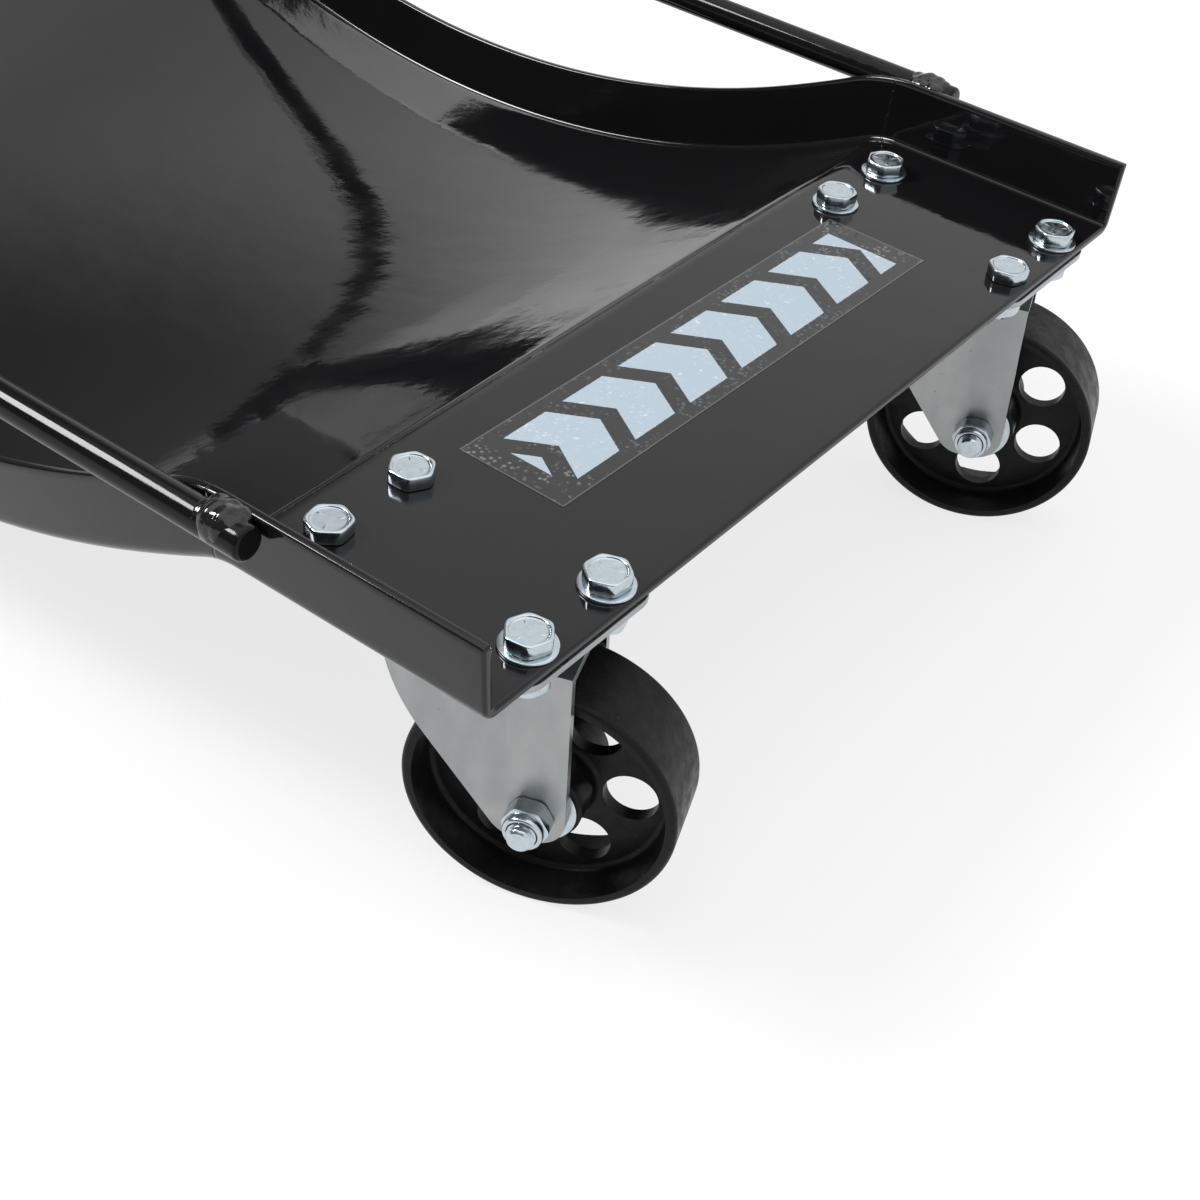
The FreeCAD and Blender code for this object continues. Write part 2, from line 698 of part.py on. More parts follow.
def make_fork(name, corner):
    body = new_body(name)
    cup = dim("cup_radius")
    wide = dim("leg_gap") + dim("leg_thick") * 2
    crown = new_sketch(body, f"{name}_crown", "XZ_Plane")
    cup_inside = cup - CUP_WALL
    cup_top = PLATE_LOW - 0.9          # clear of the plate
    gutter = SHELF - 1.7               # round the outside of the race shelf
    gutter_in = cup_inside - 1.8
    shelf_edge = cup_inside - 3.4
    add_outline(crown, [
        (0, CROWN_LOW), (wide / 2, CROWN_LOW), (wide / 2, CROWN_TOP), (cup, CROWN_TOP),
        (cup, cup_top), (cup_inside, cup_top), (cup_inside, gutter), (gutter_in, gutter),
        (shelf_edge, SHELF), (0, SHELF),
    ])
    spin(body, "Revolution", f"{name}_cup", crown)
    doc.recompute()
    # the crown rim is a band no wider than the legs, so that it ends flush with their outer faces
    band = new_sketch(body, f"{name}_band", "XY_Plane", CROWN_LOW)
    reach = dim("crown_radius")
    chord = root(reach * reach - wide * wide / 4)
    add_outline(band, [(-chord, -wide / 2), (chord, -wide / 2, -reach), (chord, wide / 2),
                       (-chord, wide / 2, -reach)])
    pad(body, f"{name}_band_sheet", band, dim("crown_thick"))
    doc.recompute()
    legs = new_sketch(body, f"{name}_legs", "XZ_Plane")
    top = CROWN_TOP - 0.4
    toe = -AXLE - dim("leg_toe")
    knee_x = as_size(-5.0)             # the slanted edge is curved down to here and straight below
    knee_z = as_size(-43.8)
    heel_curve = as_size(-60)
    toe_x = dim("trail") - 8.1
    add_outline(legs, [
        (-dim("leg_heel"), top, heel_curve), (knee_x, knee_z), (toe_x, toe),
        (LEG_FRONT - dim("leg_front_toe"), toe), (LEG_FRONT - dim("leg_front_top"), top),
    ])
    pad(body, f"{name}_legs_block", legs, wide, both_ways=True)
    doc.recompute()
    round_edges(body, f"{name}_toes", body.Tip.Shape.Edges, dim("leg_corner"),
                wanted=lambda edge: abs(edge.BoundBox.YLength - wide.value) < TOLERANCE
                and edge.BoundBox.ZMax < toe.value + TOLERANCE)
    doc.recompute()
    gap = new_sketch(body, f"{name}_gap", "XZ_Plane")
    margin = 5
    below = toe - margin
    beyond = LEG_FRONT + margin
    add_outline(gap, [(-dim("leg_heel") * 2, below), (beyond, below), (beyond, CROWN_LOW),
                      (-dim("leg_heel") * 2, CROWN_LOW)])
    doc.recompute()
    pocket(body, f"{name}_gap_cut", gap, dim("leg_gap"), both_ways=True)
    hollow = new_sketch(body, f"{name}_hollow", "XZ_Plane")
    add_outline(hollow, [(0, CROWN_LOW - TOOL), (HOLLOW, CROWN_LOW - TOOL), (HOLLOW, SHELF_LOW),
                         (0, SHELF_LOW)])
    spin(body, "Groove", f"{name}_hollow_cut", hollow)
    doc.recompute()
    bore = new_sketch(body, f"{name}_bore", "XY_Plane")
    add_circle(bore, 0, 0, PIN_RADIUS + RUNNING)
    doc.recompute()
    pocket(body, f"{name}_bore_cut", bore, DECK, both_ways=True)
    ring_groove(body, f"{name}_upper_track", dim("race_radius"), RACE_Z, dim("race_ball"))
    ring_groove(body, f"{name}_lower_track", dim("low_race_radius"), LOW_RACE_Z, dim("low_ball"))
    axle = new_sketch(body, f"{name}_axle_hole", "XZ_Plane")
    add_circle(axle, dim("trail"), -AXLE, dim("axle_dia") / 2 + RUNNING)
    doc.recompute()
    pocket(body, f"{name}_axle_cut", axle, wide * 2, both_ways=True)
    put_on_corner(body, corner, turned=True)


def lie_on_axle(body, corner, phase=0.0):
    """Lay a piece that was built round the Z axis along its caster's axle. Its +Z end faces outwards
    from the axle nut's side, and its X axis starts along the trail."""
    end, side, turn, _ = CORNERS[corner]
    half_turn = 0 if end > 0 else 180
    angle = dim(turn)
    yaw = FreeCAD.Rotation(FreeCAD.Vector(0, 0, 1), angle.value + half_turn)
    tip = FreeCAD.Rotation(FreeCAD.Vector(1, 0, 0), 90)
    roll = FreeCAD.Rotation(FreeCAD.Vector(0, 0, 1), phase)
    body.Placement.Rotation = yaw * tip * roll
    place(body, (KINGPIN_X + dim("trail") * cosine(angle)) * end,
          KINGPIN_Y * side + dim("trail") * sine(angle) * end, dim("wheel_dia") / 2)


def make_axle_bolt(name, corner):
    body = new_body(name)
    outside = dim("leg_gap") / 2 + dim("leg_thick")
    head_height = as_size(5.0)
    tip_reach = 10.6                   # past the leg on the nut's side
    tip_chamfer = 0.9
    head = body.newObject("PartDesign::AdditivePrism", f"{name}_head")
    head.Polygon = 6
    bind(head, Circumradius=HEX_RADIUS, Height=head_height)
    place(head, z=-outside - head_height)
    doc.recompute()
    shank = body.newObject("PartDesign::AdditiveCylinder", f"{name}_shank")
    bind(shank, Radius=dim("axle_dia") / 2, Height=outside * 2 + tip_reach)
    place(shank, z=-outside)
    doc.recompute()
    round_edges(body, f"{name}_tip", body.Tip.Shape.Edges, tip_chamfer, kind="Chamfer",
                wanted=lambda edge: edge.Curve.TypeId == "Part::GeomCircle"
                and edge.BoundBox.ZMin > outside.value)
    lie_on_axle(body, corner)


def make_axle_nut(name, corner):
    body = new_body(name)
    outside = dim("leg_gap") / 2 + dim("leg_thick")
    block_height = as_size(5.4)
    collar_radius = 5.9
    collar_top_radius = 5.1
    collar_side = 1.8
    collar_height = 2.6
    chamfer_slope = 0.55
    block = body.newObject("PartDesign::AdditivePrism", f"{name}_block")
    block.Polygon = 6
    bind(block, Circumradius=HEX_RADIUS, Height=block_height)
    place(block, z=outside)
    doc.recompute()
    collar = new_sketch(body, f"{name}_collar", "XZ_Plane")
    step = outside + block_height
    add_outline(collar, [(0, step - TOOL), (collar_radius, step - TOOL), (collar_radius, step + collar_side),
                         (collar_top_radius, step + collar_height), (0, step + collar_height)])
    spin(body, "Revolution", f"{name}_collar_ring", collar)
    doc.recompute()
    corner_out = HEX_RADIUS + TOOL
    rim = dim("hex_flats") / 2 - 0.1
    chamfer = new_sketch(body, f"{name}_chamfer", "XZ_Plane")
    add_outline(chamfer, [(rim, step), (corner_out, step - (corner_out - rim) * chamfer_slope),
                          (corner_out, step + TOOL), (rim, step + TOOL)])
    spin(body, "Groove", f"{name}_chamfer_cut", chamfer)
    doc.recompute()
    bore = new_sketch(body, f"{name}_bore", "XY_Plane")
    add_circle(bore, 0, 0, dim("axle_dia") / 2 + SNUG)
    doc.recompute()
    pocket(body, f"{name}_bore_cut", bore, DECK, both_ways=True)
    lie_on_axle(body, corner)


def make_sleeve(name, corner):
    """The sleeve the axle bolt clamps between the legs; the rollers run on it."""
    body = new_body(name)
    sketch = new_sketch(body, f"{name}_section", "XY_Plane")
    add_circle(sketch, 0, 0, dim("sleeve_dia") / 2)
    add_circle(sketch, 0, 0, dim("axle_dia") / 2 + SNUG)
    pad(body, f"{name}_tube", sketch, dim("leg_gap"), both_ways=True)
    lie_on_axle(body, corner)


def make_axle_washers(name, corner):
    body = new_body(name)
    body.AllowCompound = True
    hub_gap = 0.12                     # play at the hub
    leg_play = 0.08                    # play at the leg
    rim_inset = 1                      # the washer is this much smaller than the hub
    thick = (dim("leg_gap") - dim("hub_length")) / 2 - (hub_gap + leg_play)
    low = dim("hub_length") / 2 + hub_gap
    sketch = new_sketch(body, f"{name}_section", "XY_Plane", low)
    add_circle(sketch, 0, 0, dim("hub_dia") / 2 - rim_inset)
    add_circle(sketch, 0, 0, dim("sleeve_dia") / 2 + RUNNING)
    one = pad(body, f"{name}_one", sketch, thick)
    doc.recompute()
    mirror = body.newObject("PartDesign::Mirrored", f"{name}_other")
    mirror.Originals = [one]
    mirror.MirrorPlane = (plane_of(body, "XY_Plane"), [""])
    body.Tip = mirror
    lie_on_axle(body, corner)


ROLLER_COUNT = 8
UPPER_BALL_COUNT = 18
LOWER_BALL_COUNT = 14
WHEEL_HOLE_COUNT = 6
ROLLER_CIRCLE = dim("sleeve_dia") / 2 + dim("roller_dia") / 2 + RUNNING
HUB_BORE = ROLLER_CIRCLE + dim("roller_dia") / 2 + SNUG


def make_rollers(name, corner):
    body = new_body(name)
    body.AllowCompound = True
    length = dim("hub_length") - 2     # short of the hub's faces by 1 mm at each end
    one = body.newObject("PartDesign::AdditiveCylinder", f"{name}_one")
    bind(one, Radius=dim("roller_dia") / 2, Height=length)
    place(one, ROLLER_CIRCLE, 0, -(length / 2))
    doc.recompute()
    repeat(body, f"{name}_ring", [one], ROLLER_COUNT)
    lie_on_axle(body, corner)


def make_wheel(name, corner):
    body = new_body(name)
    tread = dim("wheel_dia") / 2
    face = dim("wheel_width") / 2
    rim = dim("rim_inner")
    web = dim("web_thick") / 2
    hub = dim("hub_dia") / 2
    hub_end = dim("hub_length") / 2
    section = new_sketch(body, f"{name}_section", "XZ_Plane")
    round_off = as_size(1.6)           # of the tread's edges
    slope = as_size(0.8)               # the rim's inside opens outwards by this
    draft = 0.6                        # and the casting tapers by this at its roots
    hub_bevel = 0.8
    root_round = 1.8
    add_outline(section, [
        (HUB_BORE, -hub_end), (hub - hub_bevel, -hub_end), (hub, -hub_end + hub_bevel),
        (hub + draft, -web), (rim - draft, -web),
        (rim + slope, -face), (tread - round_off, -face, -round_off), (tread, round_off - face),
        (tread, face - round_off, -round_off), (tread - round_off, face), (rim + slope, face),
        (rim - draft, web), (hub + draft, web), (hub, hub_end - hub_bevel), (hub - hub_bevel, hub_end),
        (HUB_BORE, hub_end),
    ])
    spin(body, "Revolution", f"{name}_casting", section)
    doc.recompute()
    round_edges(body, f"{name}_roots", body.Tip.Shape.Edges, root_round,
                wanted=lambda edge: edge.Curve.TypeId == "Part::GeomCircle"
                and abs(abs(edge.BoundBox.ZMin) - web.value) < TOLERANCE
                and edge.BoundBox.ZLength < TOLERANCE)
    doc.recompute()
    hole = new_sketch(body, f"{name}_hole", "XY_Plane")
    add_circle(hole, dim("wheel_hole_circle"), 0, dim("wheel_hole_dia") / 2)
    doc.recompute()
    cut = pocket(body, f"{name}_hole_cut", hole, dim("wheel_width"), both_ways=True)
    repeat(body, f"{name}_holes", [cut], WHEEL_HOLE_COUNT)
    lie_on_axle(body, corner, phase=dim(CORNERS[corner][3]).value)


def make_caster(corner):
    make_caster_plate(f"caster_plate_{corner}", corner)
    make_kingpin(f"kingpin_{corner}", corner)
    make_lower_race(f"lower_race_{corner}", corner)
    make_balls(f"upper_balls_{corner}", corner, dim("race_radius"), RACE_Z, dim("race_ball"),
               UPPER_BALL_COUNT)
    make_balls(f"lower_balls_{corner}", corner, dim("low_race_radius"), LOW_RACE_Z, dim("low_ball"),
               LOWER_BALL_COUNT)
    make_fork(f"fork_{corner}", corner)
    make_axle_bolt(f"axle_bolt_{corner}", corner)
    make_axle_nut(f"axle_nut_{corner}", corner)
    make_sleeve(f"axle_sleeve_{corner}", corner)
    make_axle_washers(f"axle_washers_{corner}", corner)
    make_rollers(f"wheel_rollers_{corner}", corner)
    make_wheel(f"wheel_{corner}", corner)


# ---------------------------------------------------------------- build and write

make_tray()
make_rods()
make_welds()
make_label()
make_fasteners()
for corner_name in CORNERS:
    make_caster(corner_name)
doc.recompute()

PIECES = ["tray", "side_rod_left", "side_rod_right", "rod_welds", "label", "mounting_bolts", "mounting_nuts",
          "mounting_washers"]
CASTER_PIECES = ["caster_plate", "kingpin", "lower_race", "upper_balls", "lower_balls", "fork", "axle_bolt",
                 "axle_nut", "axle_sleeve", "axle_washers", "wheel_rollers", "wheel"]
PIECES += [f"{piece}_{corner_name}" for corner_name in CORNERS for piece in CASTER_PIECES]

for item in doc.Objects:
    if "Invalid" in item.State or "Error" in item.State:
        raise RuntimeError(f"{item.Name} failed: {item.State}")
os.makedirs("parts", exist_ok=True)
for name in PIECES:
    piece = doc.getObjectsByLabel(name)[0]
    if piece.Shape.isNull() or not piece.Shape.isValid():
        raise RuntimeError(f"{name} has no valid shape")
    piece.Shape.exportStep(f"parts/{name}.step")
print(len(PIECES), "pieces written")
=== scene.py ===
import math
import random

import bpy
import numpy as np
from mathutils import Matrix, Vector, noise


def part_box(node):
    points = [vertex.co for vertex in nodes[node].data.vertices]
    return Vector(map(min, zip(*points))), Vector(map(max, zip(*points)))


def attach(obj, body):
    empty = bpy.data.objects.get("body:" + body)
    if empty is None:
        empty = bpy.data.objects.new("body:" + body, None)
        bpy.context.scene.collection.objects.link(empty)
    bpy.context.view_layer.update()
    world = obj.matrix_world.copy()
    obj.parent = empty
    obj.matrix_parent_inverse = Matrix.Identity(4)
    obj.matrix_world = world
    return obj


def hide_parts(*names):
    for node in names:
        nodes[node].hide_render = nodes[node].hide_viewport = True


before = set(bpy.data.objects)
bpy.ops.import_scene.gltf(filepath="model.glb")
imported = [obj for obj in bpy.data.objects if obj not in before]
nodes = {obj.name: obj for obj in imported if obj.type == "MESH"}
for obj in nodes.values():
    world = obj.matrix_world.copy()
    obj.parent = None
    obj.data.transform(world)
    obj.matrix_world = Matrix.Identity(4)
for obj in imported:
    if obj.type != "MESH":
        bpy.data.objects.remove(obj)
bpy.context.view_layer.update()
scene = bpy.context.scene
MM = 0.001

# ---------------------------------------------------------------- mesh helpers


def new_object(name, points, faces, crease_angle=40.0, origin=None):
    """A mesh object from points in millimetres. Edges sharper than crease_angle are shaded sharp."""
    mesh = bpy.data.meshes.new(name)
    mesh.from_pydata([[c * MM for c in p] for p in points], [], faces)
    mesh.validate()
    mesh.update()
    mesh.polygons.foreach_set("use_smooth", [True] * len(mesh.polygons))
    mesh.set_sharp_from_angle(angle=math.radians(crease_angle))
    made = bpy.data.objects.new(name, mesh)
    scene.collection.objects.link(made)
    if origin is not None:
        made.matrix_world = origin
    return made


class Builder:
    """Collects lofted closed shapes into one mesh."""

    def __init__(self):
        self.points = []
        self.faces = []

    def loft(self, rings, cap_start=True, cap_end=True, closed=False):
        """Joins rings of equal length. Every ring is a closed loop."""
        size = len(rings[0])
        base = len(self.points)
        for ring in rings:
            self.points.extend(ring)
        count = len(rings)
        for i in range(count if closed else count - 1):
            a = base + i * size
            b = base + ((i + 1) % count) * size
            for k in range(size):
                n = (k + 1) % size
                self.faces.append((a + k, a + n, b + n, b + k))
        if closed:
            return
        for wanted, ring, start, flip in (
            (cap_start, rings[0], base, True),
            (cap_end, rings[-1], base + (count - 1) * size, False),
        ):
            if not wanted:
                continue
            middle = np.mean(np.array(ring), axis=0)
            self.points.append(tuple(middle))
            c = len(self.points) - 1
            for k in range(size):
                n = (k + 1) % size
                self.faces.append((start + n, start + k, c) if flip else (start + k, start + n, c))

    def lathe(self, profile, segments, place, closed=False):
        """Turns (radius, height) pairs about the local Z axis, then moves them with place."""
        rings = []
        for radius, height in profile:
            ring = []
            for k in range(segments):
                a = 2 * math.pi * k / segments
                ring.append(tuple(place @ Vector((radius * math.cos(a), radius * math.sin(a), height))))
            rings.append(ring)
        self.loft(rings, closed=closed)

    def object(self, name, **options):
        return new_object(name, self.points, self.faces, **options)


def loose_parts(node):
    """The vertex coordinates, in millimetres, of each separate lump of a CAD node."""
    mesh = nodes[node].data
    parent = list(range(len(mesh.vertices)))

    def find(i):
        while parent[i] != i:
            parent[i] = parent[parent[i]]
            i = parent[i]
        return i

    for edge in mesh.edges:
        a, b = (find(i) for i in edge.vertices)
        if a != b:
            parent[a] = b
    # Vertices that share a place belong together, because the import splits them at sharp edges.
    seen = {}
    for i, v in enumerate(mesh.vertices):
        key = tuple(round(c * 1e5) for c in v.co)
        if key in seen:
            a, b = find(i), find(seen[key])
            if a != b:
                parent[a] = b
        else:
            seen[key] = i
    groups = {}
    for i, v in enumerate(mesh.vertices):
        groups.setdefault(find(i), []).append(v.co / MM)
    parts = [np.array([tuple(c) for c in g]) for g in groups.values()]
    return sorted(parts, key=lambda p: tuple(p.mean(axis=0).round(2)))


# ---------------------------------------------------------------- materials


class Nodes:
    """A short way to write a node material."""

    def __init__(self, name):
        self.material = bpy.data.materials.new(name)
        self.material.use_nodes = True
        self.tree = self.material.node_tree
        self.shader = self.tree.nodes["Principled BSDF"]
        self.coord = self.tree.nodes.new("ShaderNodeTexCoord").outputs["Object"]

    def put(self, socket, value):
        if isinstance(value, bpy.types.NodeSocket):
            self.tree.links.new(value, socket)
        else:
            socket.default_value = value

    def set(self, **inputs):
        for key, value in inputs.items():
            self.put(self.shader.inputs[key.replace("_", " ")], value)

    def math(self, operation, a, b=0.0):
        n = self.tree.nodes.new("ShaderNodeMath")
        n.operation = operation
        for socket, value in zip(n.inputs, (a, b)):
            self.put(socket, value)
        return n.outputs[0]

    def scaled(self, scale):
        n = self.tree.nodes.new("ShaderNodeMapping")
        self.put(n.inputs["Vector"], self.coord)
        n.inputs["Scale"].default_value = scale
        return n.outputs[0]

    def noise(self, per_metre, detail=2.0, rough=0.5, coord=None):
        n = self.tree.nodes.new("ShaderNodeTexNoise")
        self.put(n.inputs["Vector"], coord or self.coord)
        n.inputs["Scale"].default_value = per_metre
        n.inputs["Detail"].default_value = detail
        n.inputs["Roughness"].default_value = rough
        return n.outputs["Fac"]

    def voronoi(self, per_metre):
        n = self.tree.nodes.new("ShaderNodeTexVoronoi")
        self.put(n.inputs["Vector"], self.coord)
        n.inputs["Scale"].default_value = per_metre
        return n.outputs["Distance"]

    def ramp(self, value, low, high, to_low=0.0, to_high=1.0):
        n = self.tree.nodes.new("ShaderNodeMapRange")
        n.interpolation_type = "SMOOTHSTEP"
        for socket, v in zip(n.inputs, (value, low, high, to_low, to_high)):
            self.put(socket, v)
        return n.outputs[0]

    def mix(self, factor, a, b):
        n = self.tree.nodes.new("ShaderNodeMix")
        n.data_type = "RGBA"
        self.put(n.inputs[0], factor)
        self.put(n.inputs[6], a)
        self.put(n.inputs[7], b)
        return n.outputs[2]

    def bump(self, height, depth_mm, normal=None):
        """height runs 0 to 1 over depth_mm."""
        n = self.tree.nodes.new("ShaderNodeBump")
        n.inputs["Strength"].default_value = 1.0
        n.inputs["Distance"].default_value = depth_mm * MM
        self.put(n.inputs["Height"], height)
        if normal is not None:
            self.put(n.inputs["Normal"], normal)
        return n.outputs[0]


PRESS_LINE = 183.6    # the crease between the cradle and each end pad, along X


def grey(value, blue=1.0, red=1.0):
    return (value * red, value, value * blue, 1.0)


def powder_coat():
    m = Nodes("gloss_black_powder_coat")
    swell = m.noise(16.0, 2.0, 0.5)
    ripple = m.noise(75.0, 2.0, 0.5)
    peel = m.noise(420.0, 2.0, 0.55)
    wander = m.noise(36.0, 2.0, 0.5)
    normal = m.bump(swell, 0.16)
    normal = m.bump(wander, 0.10, normal)
    normal = m.bump(ripple, 0.05, normal)
    normal = m.bump(peel, 0.011, normal)
    split = m.tree.nodes.new("ShaderNodeSeparateXYZ")
    m.put(split.inputs[0], m.coord)
    along = m.math("ABSOLUTE", split.outputs[0])
    from_line = m.math("ABSOLUTE", m.math("SUBTRACT", along, PRESS_LINE * MM))
    line = m.ramp(from_line, 0.15 * MM, 0.55 * MM, 1.0, 0.0)
    dashes = m.ramp(m.noise(130.0, 3.0, 0.6), 0.34, 0.52, 0.25, 1.0)
    line = m.math("MULTIPLY", line, dashes)
    normal = m.bump(m.math("SUBTRACT", 1.0, line), 0.25, normal)
    dust = m.ramp(m.noise(1700.0, 2.0, 0.7), 0.72, 0.80)
    tint = m.mix(m.noise(30.0, 3.0), grey(0.0034, 1.15, 1.05), grey(0.0050, 1.1, 1.05))
    m.set(
        Base_Color=m.mix(dust, tint, grey(0.03)),
        Roughness=m.ramp(m.noise(55.0, 4.0, 0.6), 0.3, 0.7, 0.035, 0.075),
        IOR=1.40,
        Normal=normal,
    )
    return m.material


def rod_paint():
    m = Nodes("gloss_black_rod_paint")
    normal = m.bump(m.noise(90.0, 2.0), 0.03)
    normal = m.bump(m.noise(600.0, 2.0), 0.006, normal)
    m.set(
        Base_Color=m.mix(m.noise(60.0, 3.0), grey(0.003), grey(0.005)),
        Roughness=m.ramp(m.noise(300.0, 3.0), 0.3, 0.7, 0.06, 0.12),
        IOR=1.27,
        Normal=normal,
    )
    return m.material


def weld_paint():
    m = Nodes("painted_weld_bead")
    normal = m.bump(m.noise(260.0, 2.0), 0.25)
    normal = m.bump(m.noise(1100.0, 2.0), 0.03, normal)
    m.set(
        Base_Color=m.mix(m.noise(200.0, 3.0), grey(0.004), grey(0.008)),
        Roughness=m.ramp(m.noise(500.0, 3.0), 0.3, 0.7, 0.03, 0.08),
        IOR=1.5,
        Normal=normal,
    )
    return m.material


def bright_zinc():
    m = Nodes("bright_blue_zinc")
    normal = m.bump(m.noise(900.0, 3.0, 0.6), 0.004)
    normal = m.bump(m.noise(160.0, 2.0), 0.012, normal)
    stain = m.ramp(m.noise(420.0, 4.0, 0.65), 0.35, 0.75)
    m.set(
        Base_Color=m.mix(stain, (0.53, 0.60, 0.64, 1.0), (0.46, 0.52, 0.56, 1.0)),
        Metallic=1.0,
        Roughness=m.ramp(m.noise(700.0, 4.0, 0.6), 0.3, 0.7, 0.13, 0.25),
        Normal=normal,
    )
    return m.material


def fork_zinc():
    m = Nodes("satin_zinc_sheet")
    streaks = m.noise(60.0, 3.0, 0.6, coord=m.scaled((1.0, 1.0, 0.22)))
    cloud = m.noise(45.0, 3.0, 0.55)
    scuff = m.ramp(m.noise(1400.0, 3.0, 0.75), 0.66, 0.74)
    tone = m.mix(m.ramp(streaks, 0.3, 0.7), (0.30, 0.31, 0.315, 1.0), (0.37, 0.378, 0.38, 1.0))
    tone = m.mix(m.ramp(cloud, 0.55, 0.8), tone, (0.40, 0.405, 0.405, 1.0))
    tone = m.mix(scuff, tone, (0.22, 0.225, 0.235, 1.0))
    speck = m.ramp(m.noise(620.0, 4.0, 0.7), 0.67, 0.72)
    tone = m.mix(speck, tone, (0.13, 0.15, 0.125, 1.0))
    normal = m.bump(m.noise(40.0, 2.0), 0.06)
    normal = m.bump(m.noise(1300.0, 3.0, 0.6), 0.008, normal)
    m.set(
        Base_Color=tone,
        Metallic=1.0,
        Roughness=m.ramp(m.noise(120.0, 4.0, 0.6), 0.3, 0.7, 0.30, 0.44),
        Normal=normal,
    )
    return m.material


def plate_zinc():
    m = Nodes("pressed_zinc_plate")
    tone = m.mix(m.noise(110.0, 4.0, 0.6), (0.28, 0.30, 0.32, 1.0), (0.44, 0.455, 0.465, 1.0))
    normal = m.bump(m.noise(500.0, 3.0), 0.02)
    m.set(
        Base_Color=tone,
        Metallic=1.0,
        Roughness=m.ramp(m.noise(200.0, 4.0, 0.6), 0.3, 0.7, 0.24, 0.4),
        Normal=normal,
    )
    return m.material


def ball_steel():
    m = Nodes("polished_ball_steel")
    m.set(
        Base_Color=m.mix(m.noise(400.0, 3.0), (0.42, 0.42, 0.42, 1.0), (0.6, 0.6, 0.6, 1.0)),
        Metallic=1.0,
        Roughness=m.ramp(m.noise(800.0, 3.0), 0.3, 0.7, 0.1, 0.22),
        Normal=m.bump(m.noise(1500.0, 2.0), 0.004),
    )
    return m.material


def wheel_iron():
    m = Nodes("black_painted_cast_iron")
    grain = m.noise(900.0, 4.0, 0.65)
    lumps = m.noise(220.0, 3.0, 0.6)
    normal = m.bump(lumps, 0.10)
    normal = m.bump(grain, 0.06, normal)
    worn = m.ramp(m.noise(1500.0, 3.0, 0.8), 0.68, 0.74)
    tone = m.mix(m.noise(140.0, 4.0, 0.6), grey(0.0040), grey(0.0080))
    m.set(
        Base_Color=m.mix(worn, tone, grey(0.13)),
        Roughness=m.ramp(lumps, 0.3, 0.7, 0.30, 0.50),
        IOR=1.24,
        Normal=normal,
    )
    return m.material


MAT = {
    "black_powder_coat": powder_coat(),
    "rod_gloss_black": rod_paint(),
    "weld_bead_paint": weld_paint(),
    "bright_zinc": bright_zinc(),
    "zinc_sheet": plate_zinc(),
    "zinc_fork": fork_zinc(),
    "ball_steel": ball_steel(),
    "wheel_black_iron": wheel_iron(),
}


def paint(obj, material):
    obj.data.materials.clear()
    obj.data.materials.append(material)


def finish_piece(obj, body, slot, *replaced):
    paint(obj, MAT[slot])
    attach(obj, body)
    if replaced:
        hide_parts(*replaced)


# ---------------------------------------------------------------- the tray

HALF_LENGTH = 270.0
DECK_TOP = 102.6
SHEET = 3.0
CREASE_X = 182.0
CRADLE_RADIUS = 365.7
CRADLE_Z = DECK_TOP + math.sqrt(CRADLE_RADIUS**2 - CREASE_X**2)
FLANGE_LEAN = math.radians(5.6)
FLANGE_TOP = 21.2
BEND_Y = 157.125
BEND_MID = 3.0
BLEND_FROM = 147.0
CRISP_RADIUS = 14.0
CRISP_UNDER = 11.0
SOFT_RADIUS = 29.0
EDGE_ROUND = 1.0
# The cradle's wall flattens towards the press line: past this slope it follows a wider arc.
WALL_SLOPE = math.radians(24.0)
WALL_RADIUS = 580.0
WALL_X = (CRADLE_RADIUS - WALL_RADIUS) * math.sin(WALL_SLOPE)
WALL_Z = CRADLE_Z + (WALL_RADIUS - CRADLE_RADIUS) * math.cos(WALL_SLOPE)


FAR = 99.0    # stands for a station away from the end edge's rounding
END_STEPS = (0.0, 0.08, 0.24, 0.5, 0.75, 1.2)    # distances from the end edge, over its rounding


def edge_slim(distance):
    """What the half thickness loses this far from a rounded edge."""
    if distance >= EDGE_ROUND:
        return 0.0
    return EDGE_ROUND - math.sqrt(max(0.0, EDGE_ROUND**2 - (EDGE_ROUND - distance) ** 2))


def deck_path(offset, fillet):
    """Stations of one half of a path that is offset above the deck's top, from the end edge to the middle.

    Each is (x, z, normal x, normal z, distance from the end edge, or FAR)."""
    line = DECK_TOP + offset
    radius = CRADLE_RADIUS - offset
    wall = WALL_RADIUS - offset
    reach = wall + fillet
    drop = WALL_Z - line + fillet
    cx = WALL_X + math.sqrt(reach**2 - drop**2)
    cz = line - fillet
    turn = math.asin((cx - WALL_X) / reach)
    stations = []
    for d in END_STEPS:
        stations.append((HALF_LENGTH - d, line, 0.0, 1.0, d))
    start = HALF_LENGTH - END_STEPS[-1]
    flat = start - cx
    for i in range(1, 13):
        stations.append((start - flat * i / 13, line, 0.0, 1.0, FAR))
    for d in (1.2, 0.35):
        stations.append((cx + d, line, 0.0, 1.0, FAR))
    for i in range(0, 13):
        a = turn * i / 12
        x = cx - fillet * math.sin(a)
        stations.append((x, cz + fillet * math.cos(a), -math.sin(a), math.cos(a), FAR))
    for i in range(1, 9):
        a = turn + (WALL_SLOPE - turn) * i / 8
        x = WALL_X + wall * math.sin(a)
        stations.append((x, WALL_Z - wall * math.cos(a), -math.sin(a), math.cos(a), FAR))
    for i in range(1, 35):
        a = WALL_SLOPE * (1 - i / 34)
        x = radius * math.sin(a)
        stations.append((x, CRADLE_Z - radius * math.cos(a), -math.sin(a), math.cos(a), FAR))
    return stations


